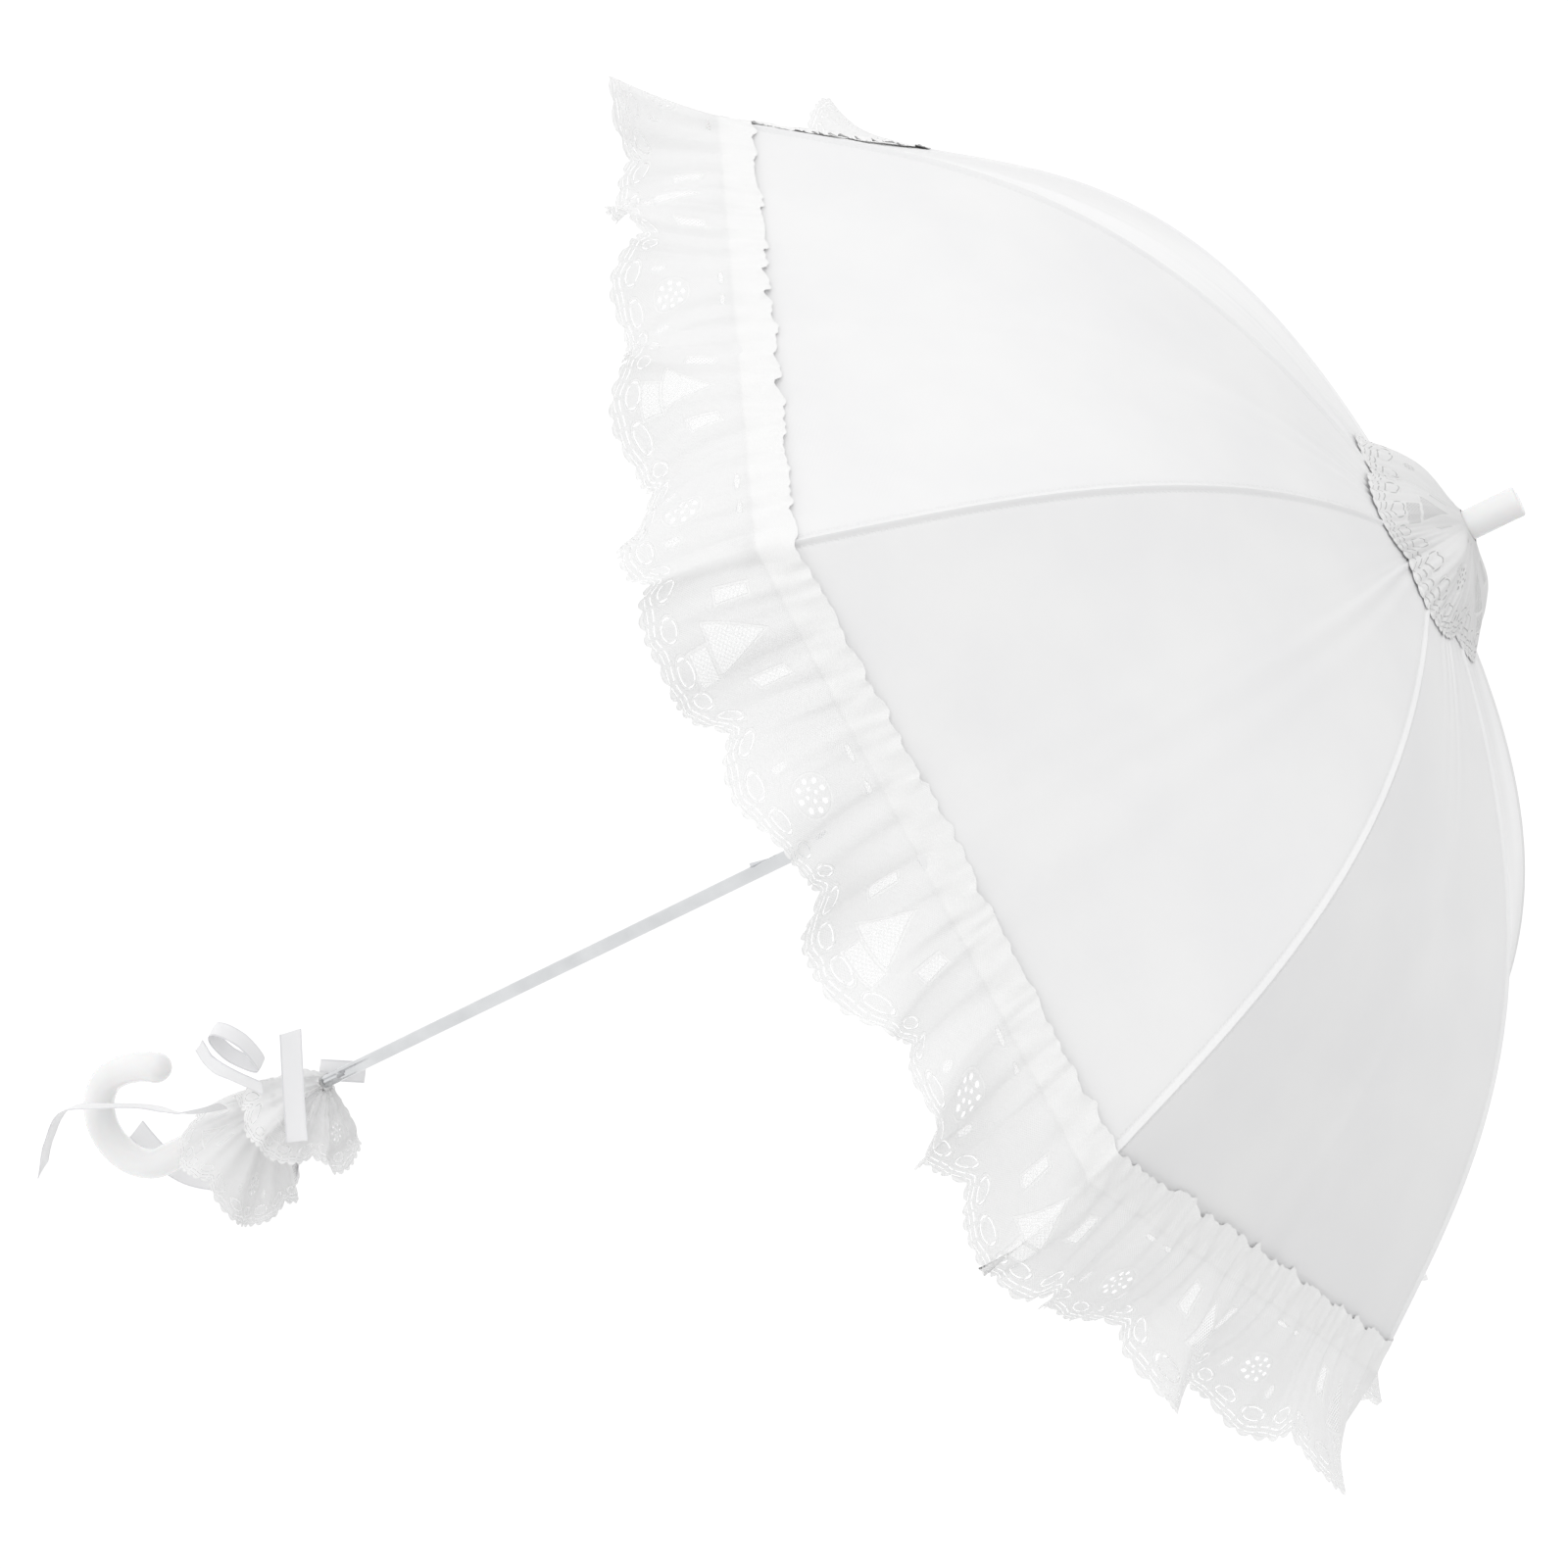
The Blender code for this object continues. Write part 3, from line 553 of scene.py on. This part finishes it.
def tangent_of(number):
    turn = rib_heading(number)
    return (-math.sin(turn), math.cos(turn), 0.0)


def pivot_of(number):
    turn = rib_heading(number)
    return (PIVOT_RADIUS * math.cos(turn), PIVOT_RADIUS * math.sin(turn), CROWN_Z)


# ------------------------------------------------------------------ canopy

def column_turns(reach, columns):
    """Angles from the rib to the middle of the panel, close together at the seam."""
    half = SECTOR / 2
    limit = half * reach
    shrink = min(1.0, limit / (16 * MM))
    near = [place * MM * shrink / reach for place in SEAM_COLUMNS]
    rest = []
    for step in range(1, columns + 1):
        ease = 1 - (1 - step / columns)**2
        rest.append(near[-1] + (half - near[-1]) * ease)
    return near + rest


def seam_ridge(distance):
    """Height of the sewn seam over the cloth at this distance from it."""
    ridge = 0.6 * math.exp(-(distance / (0.55 * MM))**2)
    valley = 0.22 * math.exp(-((distance - 1.5 * MM) / (0.7 * MM))**2)
    return (ridge - valley) * MM


def cloth_ripple(point, share, turn):
    """Soft unevenness of stretched cloth; zero at the seams and stronger at the crown."""
    slack = math.sin(math.pi * min(1.0, abs(turn) / (SECTOR / 2)) / 2)**2
    broad = noise.noise(Vector((point.x * 14, point.y * 14, point.z * 14)))
    streak = noise.noise(Vector((math.atan2(point.y, point.x) * 22, share * 2.2, 3.0)))
    crown = math.exp(-share / 0.10)
    hem = math.exp(-(1 - share) / 0.08)
    return slack * (0.8 * broad + streak * (0.35 + 1.0 * crown + 0.8 * hem)) * MM


def canopy_rows(number, rows=56, columns=16):
    heading = rib_heading(number)
    points = []
    cuts = []
    for row in range(rows + 1):
        share = row / rows
        reach, _ = rib_offset(share, CLOTH_LIFT)
        reach = max(reach, HUB_GAP)
        half = column_turns(reach, columns)
        turns = [-turn for turn in reversed(half[1:])] + half
        line = []
        cut = []
        for turn in turns:
            base = dome_point(share, CLOTH_LIFT, 0.0, turn, heading)
            distance = abs(turn) * reach
            lift = seam_ridge(distance) * min(1.0, reach / (20 * MM))
            lift += cloth_ripple(base, share, turn)
            line.append(base + dome_normal(max(share, 0.02), 0.0, turn, heading) * lift)
            cut.append((turn * reach / MM, share * RIB_LENGTH / MM))
        points.append(line)
        cuts.append(cut)
    return points, cuts


def add_canopy(material):
    for number in range(1, RIB_COUNT + 1):
        points, cuts = canopy_rows(number)
        mesh = grid_mesh(f"canopy_cloth_{number}", points, cuts)
        piece = bpy.data.objects.new(mesh.name, mesh)
        bpy.context.scene.collection.objects.link(piece)
        mesh.materials.append(material)
        thicken(piece, 0.45 * MM)
        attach(piece, f"rib_{number}")
        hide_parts(f"canopy_{number}")
        tangent_of(number)
        pivot_of(number)
        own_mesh(piece)


# ---------------------------------------------------------------- hem lace

def scallop_edge(along):
    """Width of the lace at this place, in millimetres, with its picots."""
    x = ((along / REPEAT + 0.5) % 1.0 - 0.5) * REPEAT
    picot = PICOT * abs(math.sin(math.pi * (along / PICOT_PITCH)))**0.7
    return LACE_WIDTH - SCALLOP * (x / (REPEAT / 2))**2 + picot - PICOT


def hem_turn(distance):
    """Angle from the rib of a place on the straight hem, from its distance to the rib's tip."""
    half = SECTOR / 2
    half_hem = RIM_RADIUS * math.sin(half)
    across = math.atan2(half_hem - abs(distance), RIM_RADIUS * math.cos(half))
    return math.copysign(half - across, distance)


def strip_noise(place, length, wavelength, seed):
    """Smooth noise along a closed strip, whose end meets its start; lengths in millimetres."""
    radius = length / (2 * math.pi * wavelength)
    turn = 2 * math.pi * place / length
    return 1.6 * noise.noise(Vector((radius * math.cos(turn), radius * math.sin(turn), seed)))


def hem_rise(whole, across):
    """Height of the hem lace over the dome's own surface and its sideways shift, both in mm, with
    the unevenness of its gathered top and the way it swings in or out."""
    length = 2 * RIB_COUNT * HALF_STRIP
    header = max(0.0, (STITCH - across) / STITCH)
    flounce = max(0.0, (across - STITCH) / (LACE_WIDTH - STITCH))
    ruffle = strip_noise(whole, length, 7.0, 1.0) + 0.45 * strip_noise(whole, length, 3.0, 2.0 + header)
    gather = math.sin(2 * math.pi * whole / 12.5 + 2.2 * strip_noise(whole, length, 30.0, 3.0))
    pucker = strip_noise(whole, length, 2.4, 4.0)
    phase = 2 * math.pi * whole / REPEAT + 1.5 * strip_noise(whole, length, 70.0, 5.0)
    strength = 0.8 + 0.6 * strip_noise(whole, length, 110.0, 6.0)
    fold = math.cos(phase) + 0.3 * math.cos(2 * phase + 2.5 * strip_noise(whole, length, 60.0, 7.0))
    swing = strip_noise(whole, length, 50.0, 8.0)
    rise = 0.7 + 0.3 * header + 0.9 * header * max(-0.4, ruffle) + 0.2 * pucker
    rise += 0.8 * gather * math.exp(-flounce / 0.35) * min(1.0, flounce * 6)
    rise += fold * strength * FOLD_HEIGHT * flounce**1.2
    shift = 2.4 * math.sin(phase) * flounce + 0.6 * gather * min(1.0, flounce * 4)
    return rise, shift, ruffle * header, swing


def hem_lace_point(number, along, across):
    """Place of the hem lace in space, from its place on the flat strip in millimetres."""
    heading = rib_heading(number)
    half_hem = RIM_RADIUS * math.sin(SECTOR / 2)
    turn = hem_turn(along / HALF_STRIP * half_hem)
    rise, shift, ruffle, swing = hem_rise(along + (number - 1) * 2 * HALF_STRIP, across)
    fall = across - HEADING + RUFFLE_DEPTH * ruffle
    flounce = max(0.0, fall) / (LACE_WIDTH - HEADING)
    share = 1.0 + min(0.0, fall) * MM / RIB_LENGTH
    fall = max(0.0, fall)
    # the free lace curls in or out as it falls, along an arc of this angle
    bend = max(-1.0, min(0.85, 2.8 * swing - 0.1)) * flounce
    if abs(bend) > 0.01:
        rise += fall * (1 - math.cos(bend)) / bend
        fall *= math.sin(bend) / bend
    base = dome_point(share, HEM_LIFT, fall * MM, turn, heading)
    normal = dome_normal(min(share, 1.0), fall * MM, turn, heading)
    sideways = Vector((-math.sin(heading + turn), math.cos(heading + turn), 0))
    droop = DOWN * DROOP * flounce**2
    return base + (normal * rise + sideways * shift + droop) * MM


def lace_rows(surface, length, start=0.0, rows=20, per_picot=4, closed=False, cut_off=0.0):
    """Points and flat places of a strip of lace whose last row follows the picots."""
    columns = round(length / PICOT_PITCH) * per_picot
    points = []
    cuts = []
    for row in range(rows + 1):
        line = []
        cut = []
        for column in range(columns + 1):
            along = start + length * column / columns
            across = cut_off + (scallop_edge(along) - cut_off) * (row / rows)
            if not (closed and column == columns):
                line.append(surface(along, across))
            cut.append((along, across))
        points.append(line)
        cuts.append(cut)
    return points, cuts


def add_hem_lace(material):
    for number in range(1, RIB_COUNT + 1):
        begin = (number - 1) * 2 * HALF_STRIP

        def surface(along, across, number=number, begin=begin):
            return hem_lace_point(number, along - begin, across)
        points, cuts = lace_rows(surface, 2 * HALF_STRIP, begin - HALF_STRIP)
        mesh = grid_mesh(f"hem_flounce_{number}", points, cuts)
        piece = add_piece(mesh.name, mesh, material, f"rib_{number}")
        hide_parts(f"hem_lace_{number}")
        tangent_of(number)
        pivot_of(number)
        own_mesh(piece)


# ------------------------------------------------------- rosette and frill

def add_ruffle(name, material, length, surface, node, cut_off=0.0):
    """A closed gathered ruffle; surface gives the place in space of a place on the strip."""
    points, cuts = lace_rows(surface, length, rows=22, closed=True, cut_off=cut_off)
    piece = add_piece(name, grid_mesh(name, points, cuts, closed=True), material, "root")
    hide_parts(node)


def rosette_surface(length, reach, top, rest, lift, seed):
    """Nearly flat collar that rises to the ferrule; sizes in millimetres over the crown.

    reach is how far it spreads, top its height at the ferrule, rest its least height over the cloth
    there, and lift the height of its folds.
    """
    def surface(along, across):
        turn = 2 * math.pi * along / length
        spread = (across - ROSETTE_CUT) / (LACE_WIDTH - ROSETTE_CUT)
        share = (across - ROSETTE_CUT) / (scallop_edge(along) - ROSETTE_CUT)
        phase = 7 * turn + 1.6 * strip_noise(along, length, 60.0, seed)
        fold = math.cos(phase) + 0.35 * math.cos(2 * phase + seed)
        lump = strip_noise(along, length, 28.0, seed + 3)
        radius = 6.2 + reach * spread * (1 + 0.05 * lump)
        swell = (1.0 + 0.5 * fold + 0.9 * lump) * math.sin(math.pi * min(1.0, share**1.3))
        out = max(0.0, radius - PIVOT_RADIUS / MM)
        cloth = 3.9 - 0.076 * out - 0.0007 * out**2
        height = rest * (1 - share) + (top - rest) * max(0.0, 1 - share)**1.3 + lift * max(0.0, swell)
        height += 0.4 * math.sin(18 * turn) * math.sin(math.pi * share)
        height = cloth + max(height, rest * (1 - share) + 0.15)
        side = Vector((-math.sin(turn), math.cos(turn), 0)) * 2.0 * math.sin(phase) * spread
        place = Vector((radius * math.cos(turn), radius * math.sin(turn), height)) + side
        return place * MM + Vector((0, 0, CROWN_Z))
    return surface


def add_rosette(material):
    """Two layers of gathered lace round the foot of the ferrule."""
    lower = rosette_surface(6 * REPEAT, 39.0, 7.0, 0.0, 0.5, 1.0)
    add_ruffle("rosette_lower", material, 6 * REPEAT, lower, "apex_rosette", ROSETTE_CUT)
    upper = rosette_surface(6 * REPEAT, 38.5, 15.5, 0.5, 3.4, 12.0)
    add_ruffle("rosette_upper", material, 6 * REPEAT, upper, "apex_rosette", ROSETTE_CUT)


def handle_reach(z):
    """Radius of the handle, or of the shaft above it, at this height in millimetres."""
    top = HANDLE_TOP / MM
    if z > top + 0.6:
        return SHAFT_REACH
    return HANDLE_RADIUS / MM - 1.9 * max(0.0, 1 - (top - z) / 6.0)**2


def frill_surface(length, way, tie, leans, fullness, weight, waves, seed):
    """Flounce tied in at the waist. It leaves the band near the handle and leans out further on.

    way is 1 towards the shaft and -1 towards the hook; tie is the radius and the height over the
    waist where it starts; leans are angles from the shaft: at the band, then further out on the low
    side and on the high side.
    """
    low_turn = math.atan2(DOWN.y, DOWN.x)
    mean, change = (leans[1] + leans[2]) / 2, (leans[1] - leans[2]) / 2

    def surface(along, across):
        turn = 2 * math.pi * along / length
        spread = across / LACE_WIDTH
        side = math.cos(turn - low_turn)
        out = Vector((math.cos(turn), math.sin(turn), 0))
        far_lean = mean + change * side
        reach = across * (fullness + (1 - fullness) * side)
        place = out * tie[0] + Vector((0, 0, WAIST_Z / MM + tie[1]))
        steps = 8
        for step in range(steps):
            share = spread * (step + 0.5) / steps
            lean = leans[0] + (far_lean - leans[0]) * max(0.0, min(1.0, (share - NECK) / 0.12))
            lean = math.radians(lean)
            start = out * math.sin(lean) + Vector((0, 0, way * math.cos(lean)))
            place += (start + DOWN * weight * share).normalized() * reach / steps
        lean = math.radians(far_lean)
        normal = out * math.cos(lean) - Vector((0, 0, way * math.sin(lean)))
        phase = waves * turn + 1.6 * strip_noise(along, length, 70.0, seed)
        fold = math.cos(phase) + 0.4 * math.cos(2 * phase + seed)
        lump = strip_noise(along, length, 45.0, seed + 4)
        place += normal * ((2.8 * fold + 2.6 * lump) * spread
                           + 0.5 * math.sin(20 * turn) * math.sin(math.pi * spread))
        place += Vector((-math.sin(turn), math.cos(turn), 0)) * 2.4 * math.sin(phase) * spread
        apart = math.hypot(place.x, place.y)
        least = handle_reach(place.z) + 0.7 + 2.0 * spread
        if apart < least:
            place.x *= least / apart
            place.y *= least / apart
        return place * MM
    return surface


def add_neck_frill(material):
    upper = frill_surface(4 * REPEAT, 1, UPPER_TIE, (-50.0, 102.0, 138.0), 1.1, 0.8, 6, 3.0)
    add_ruffle("frill_upper", material, 4 * REPEAT, upper, "neck_frill")
    lower = frill_surface(5 * REPEAT, -1, LOWER_TIE, (12.0, 62.0, 14.0), 0.9, 0.45, 6, 4.0)
    add_ruffle("frill_lower", material, 5 * REPEAT, lower, "neck_frill")


# ------------------------------------------------------------------ ribbon

def smooth_route(route, steps):
    """Catmull-Rom samples through the route's own points, which are in millimetres."""
    points = [Vector(point) * MM for point in route]
    ends = [2 * points[0] - points[1]] + points + [2 * points[-1] - points[-2]]
    samples = []
    for index in range(1, len(ends) - 2):
        before, start, stop, after = ends[index - 1:index + 3]
        for step in range(steps):
            t = step / steps
            samples.append(0.5 * (2 * start + (stop - before) * t
                                  + (2 * before - 5 * start + 4 * stop - after) * t**2
                                  + (3 * start - before - 3 * stop + after) * t**3))
    samples.append(points[-1])
    return samples


def ribbon_piece(name, samples, flat_way, material, node, looped=False, twist=0.0):
    """A satin ribbon through the samples; flat_way is the direction of its width."""
    width = Vector(flat_way).normalized()
    count = len(samples)
    lanes = 6
    points = []
    cuts = []
    travelled = 0.0
    for index, point in enumerate(samples):
        after = samples[(index + 1) % count] if looped else samples[min(index + 1, count - 1)]
        before = samples[index - 1] if looped else samples[max(index - 1, 0)]
        ahead = (after - before).normalized()
        turned = Matrix.Rotation(twist * index / count, 3, ahead) @ width
        normal = ahead.cross(turned).normalized()
        side = normal.cross(ahead).normalized()
        line = []
        cut = []
        for lane in range(lanes + 1):
            across = (lane / lanes - 0.5) * RIBBON_WIDTH
            slant = 0.0 if looped else 2.5 * across / RIBBON_WIDTH * (index == count - 1)
            crown = 0.25 * math.cos(math.pi * across / RIBBON_WIDTH)
            line.append(point + (side * across + normal * crown + ahead * slant) * MM)
            cut.append((travelled / MM, across))
        points.append(line)
        cuts.append(cut)
        travelled += (after - point).length
    if looped:
        points.append(points[0])
        cuts.append([(travelled / MM, across) for _, across in cuts[0]])
    mesh = grid_mesh(name, points, cuts)
    if looped:
        weld(mesh)
    piece = bpy.data.objects.new(name, mesh)
    bpy.context.scene.collection.objects.link(piece)
    mesh.materials.append(material)
    thicken(piece, 0.35 * MM, 0.0)
    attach(piece, "root")
    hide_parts(node)


def weld(mesh):
    bm = bmesh.new()
    bm.from_mesh(mesh)
    bmesh.ops.remove_doubles(bm, verts=bm.verts, dist=0.00001)
    bm.to_mesh(mesh)
    bm.free()


def loop_samples(center, half_length, half_height, steps=40):
    """Centre line of a loop, narrower towards the knot, and the way its ribbon is flat."""
    center, half_length, half_height = [Vector(v) * MM for v in (center, half_length, half_height)]
    samples = []
    for step in range(steps):
        turn = 2 * math.pi * step / steps
        pinch = 1.0 + 0.35 * min(0.0, math.cos(turn))
        samples.append(center + math.cos(turn) * half_length + math.sin(turn) * half_height * pinch)
    return samples, half_length.cross(half_height)


def add_ribbons(material):
    for name, route, flat_way, node, twist in (
            ("tail_long", LONG_TAIL, (0.6, 1, 0.2), "ribbon_tail_1", -0.7),
            ("tail_back", BACK_TAIL, (1, 0, 1), "ribbon_tail_2", 0.7),
            ("tail_front", FRONT_TAIL, (-0.5, -0.4, 0.8), "ribbon_tail_3", 0.0),
            ("tail_short", SHORT_TAIL, (0, 0.3, 1), "bow_knot", 0.0)):
        ribbon_piece(name, smooth_route(route, 10), flat_way, material, node, twist=twist)
    for name, loop, node in (("loop_side", SIDE_LOOP, "bow_loop_1"),
                             ("loop_shaft", SHAFT_LOOP, "bow_loop_2")):
        samples, flat_way = loop_samples(*loop)
        ribbon_piece(name, samples, flat_way, material, node, looped=True)


def add_band(material):
    """Creased ribbon round the waist."""
    section = ((-5, 10.6), (-2.5, 10.9), (0, 11.2), (2.5, 10.9), (5, 10.6), (5, 10.3), (0, 10.3),
               (-5, 10.3))
    steps = 72
    rings = []
    for step in range(steps):
        turn = 2 * math.pi * step / steps
        out = Vector((math.cos(turn), math.sin(turn), 0))
        ring = []
        for height, reach in section:
            crease = 0.25 * math.sin(5 * turn + height * 0.8)
            ring.append(out * (reach + crease) * MM + Vector((0, 0, WAIST_Z + height * MM)))
        rings.append(ring)
    band = add_piece("waist_band", skin("waist_band", rings, looped=True), material, "root")
    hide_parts("neck_band")


def add_knot(material):
    """Creased knot of the bow, lying across the band."""
    half_length = 6 * MM
    half_height = 4.6
    steps = 24
    sides = 28
    rings = []
    center = Vector(KNOT) * MM
    for step in range(steps + 1):
        share = step / steps * 2 - 1
        swell = (half_height * math.sqrt(max(0.0, 1 - 0.8 * share**2))) * MM
        ring = []
        for side in range(sides):
            turn = 2 * math.pi * side / sides
            crease = 1 + 0.07 * math.sin(4 * turn + 3 * share) + 0.04 * math.sin(9 * turn)
            ring.append(center + Vector((share * half_length, math.cos(turn) * swell * crease,
                                         math.sin(turn) * swell * crease)))
        rings.append(ring)
    knot = add_piece("knot", skin("knot", rings), material, "root")
    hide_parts("bow_knot")


# ------------------------------------------------------- handle and ferrule

def hook_curl(curl):
    """Centre line of the hook's free end, past the half circle."""
    x = 2 * HOOK_RADIUS - CURL_RADIUS * (1 - math.cos(curl))
    return Vector((x, 0, CURL_RADIUS * math.sin(curl)))


def add_handle(material):
    sides = 48
    rings = [
        circle((0, 0, 45 * MM), SHAFT_BORE, sides),
        circle((0, 0, HANDLE_TOP + 2.4 * MM), SHAFT_BORE, sides),
        circle((0, 0, HANDLE_TOP + 2.2 * MM), 3.9 * MM, sides),
        circle((0, 0, HANDLE_TOP + 0.4 * MM), 4.9 * MM, sides),
        circle((0, 0, HANDLE_TOP - 0.6 * MM), 5.5 * MM, sides),
        circle((0, 0, HANDLE_TOP - 3 * MM), 6.5 * MM, sides),
        circle((0, 0, HANDLE_TOP - 6 * MM), HANDLE_RADIUS, sides),
        circle((0, 0, 50 * MM), HANDLE_RADIUS, sides),
    ]
    steps = 56
    for step in range(steps + 1):
        bend = math.pi * step / steps
        center = (HOOK_RADIUS * (1 - math.cos(bend)), 0, -HOOK_RADIUS * math.sin(bend))
        rings.append(circle(center, HANDLE_RADIUS, sides, Vector((math.cos(bend), 0, math.sin(bend)))))
    for step in range(1, 13):
        curl = CURL_ANGLE * step / 12
        across = Vector((-math.cos(curl), 0, -math.sin(curl)))
        rings.append(circle(hook_curl(curl), HANDLE_RADIUS, sides, across))
    ahead = Vector((-math.sin(CURL_ANGLE), 0, math.cos(CURL_ANGLE)))
    across = Vector((-math.cos(CURL_ANGLE), 0, -math.sin(CURL_ANGLE)))
    for step in range(1, 14):
        dome = 0.49 * math.pi * step / 13
        center = hook_curl(CURL_ANGLE) + HANDLE_RADIUS * math.sin(dome) * ahead
        rings.append(circle(center, HANDLE_RADIUS * math.cos(dome), sides, across))
    mesh = skin("hook_grip", rings)
    grip = add_piece("hook_grip", mesh, material, "root")
    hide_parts("handle_hook")


def add_ferrule(material):
    seat = CROWN_Z + 4.0 * MM
    rounding = 0.9 * MM
    profile = [
        (SHAFT_BORE, FERRULE_TOP - 6.5 * MM),
        (SHAFT_BORE, seat),
        (7.3 * MM, seat),
        (7.6 * MM, seat + 0.3 * MM),
        (7.6 * MM, seat + 0.9 * MM),
        (7.3 * MM, seat + 1.3 * MM),
        (FERRULE_RADIUS + 0.1 * MM, seat + 2.4 * MM),
        (FERRULE_RADIUS, seat + 4 * MM),
    ]
    for step in range(7):
        turn = math.pi / 2 * step / 6
        profile.append((FERRULE_RADIUS - rounding * (1 - math.cos(turn)),
                        FERRULE_TOP - rounding * (1 - math.sin(turn))))
    mesh = skin("ferrule_cap", [circle((0, 0, z), radius, 64) for radius, z in profile])
    cap = add_piece("ferrule_cap", mesh, material, "root")
    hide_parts("ferrule")


# --------------------------------------------------------- carried-over CAD

def finish_cad_nodes(plastic, chrome, steel):
    """The shaft, runner, ribs and stretchers keep their CAD shapes and take these materials."""
    looks = {"shaft_tube": chrome, "stop_ring": chrome, "crown": plastic, "runner": plastic,
             "crown_wire": steel, "top_catch": steel, "bottom_catch": steel}
    for number in range(1, RIB_COUNT + 1):
        looks[f"rib_{number}"] = steel
        looks[f"stretcher_{number}"] = steel
        looks[f"rib_tip_{number}"] = plastic
    for node, material in looks.items():
        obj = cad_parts[node]
        obj.data.materials.clear()
        obj.data.materials.append(material)


# --------------------------------------------------------- stage and camera

def add_camera():
    camera = bpy.data.objects.new("camera", bpy.data.cameras.new("camera"))
    camera.data.lens = FOCAL_LENGTH
    camera.data.sensor_width = 36
    camera.data.clip_end = 100
    azimuth = math.radians(CAMERA_AZIMUTH)
    dip = math.radians(CAMERA_DIP)
    ahead = Vector((-math.cos(azimuth) * math.cos(dip), -math.sin(azimuth) * math.cos(dip),
                    -math.sin(dip)))
    level = ahead.to_track_quat("-Z", "Y").to_matrix()
    roll = Matrix.Rotation(math.radians(-CAMERA_ROLL), 3, ahead)
    camera.matrix_world = Matrix.Translation(CAMERA_PLACE) @ (roll.inverted() @ level).to_4x4()
    bpy.context.scene.collection.objects.link(camera)
    bpy.context.scene.camera = camera


def add_floor():
    mesh = bpy.data.meshes.new("floor")
    bm = bmesh.new()
    bmesh.ops.create_circle(bm, cap_ends=True, segments=64, radius=30.0)
    bm.to_mesh(mesh)
    bm.free()
    floor = bpy.data.objects.new("floor", mesh)
    floor.location.z = FLOOR_Z
    mesh.materials.append(floor_material())
    bpy.context.scene.collection.objects.link(floor)


def add_lamp():
    """One soft lamp, aimed at the middle of the parasol."""
    light = bpy.data.lights.new("key", "AREA")
    light.shape = "DISK"
    light.size = LAMP_SIZE
    light.energy = LAMP_POWER
    lamp = bpy.data.objects.new("key", light)
    middle = Vector((0, 0, 0.45))
    way = Vector(LAMP_WAY).normalized()
    lamp.location = middle + way * LAMP_DISTANCE
    lamp.rotation_euler = (-way).to_track_quat("-Z", "Y").to_euler()
    bpy.context.scene.collection.objects.link(lamp)


def along_direction(tree, direction):
    """How far a place of the surround lies in this direction, from -1 to 1."""
    coords = tree.nodes.new("ShaderNodeTexCoord")
    dot = tree.nodes.new("ShaderNodeVectorMath")
    dot.operation = "DOT_PRODUCT"
    dot.inputs[1].default_value = direction
    tree.links.new(coords.outputs["Generated"], dot.inputs[0])
    return Field(tree, dot.outputs["Value"])


def add_world():
    """An even pale surround, dimmer towards the low side of the held parasol."""
    world = bpy.data.worlds.new("studio")
    bpy.context.scene.world = world
    world.use_nodes = True
    tree = world.node_tree
    background = tree.nodes["Background"]
    height = along_direction(tree, -DOWN)
    far_side = along_direction(tree, FAR_SIDE).step(0.75, 0.95)
    level = height.step(-0.75, 0.15) * 0.62 + 0.46 - far_side * 0.35
    background.inputs["Color"].default_value = (1, 1, 1, 1)
    tree.links.new(level.socket, background.inputs["Strength"])


def main():
    scene = bpy.context.scene
    scene.view_settings.view_transform = "Standard"
    add_camera()
    add_floor()
    add_world()
    add_lamp()
    satin = satin_material()
    lace = lace_material("open_lace", 1.0)
    close_lace = lace_material("gathered_lace", 0.5)
    ribbon = ribbon_material()
    plastic = plastic_material()
    add_canopy(satin)
    add_hem_lace(lace)
    add_rosette(close_lace)
    add_neck_frill(close_lace)
    add_ribbons(ribbon)
    add_band(ribbon)
    add_knot(ribbon)
    add_handle(plastic)
    add_ferrule(plastic)
    finish_cad_nodes(plastic, chrome_material(), steel_material())


main()
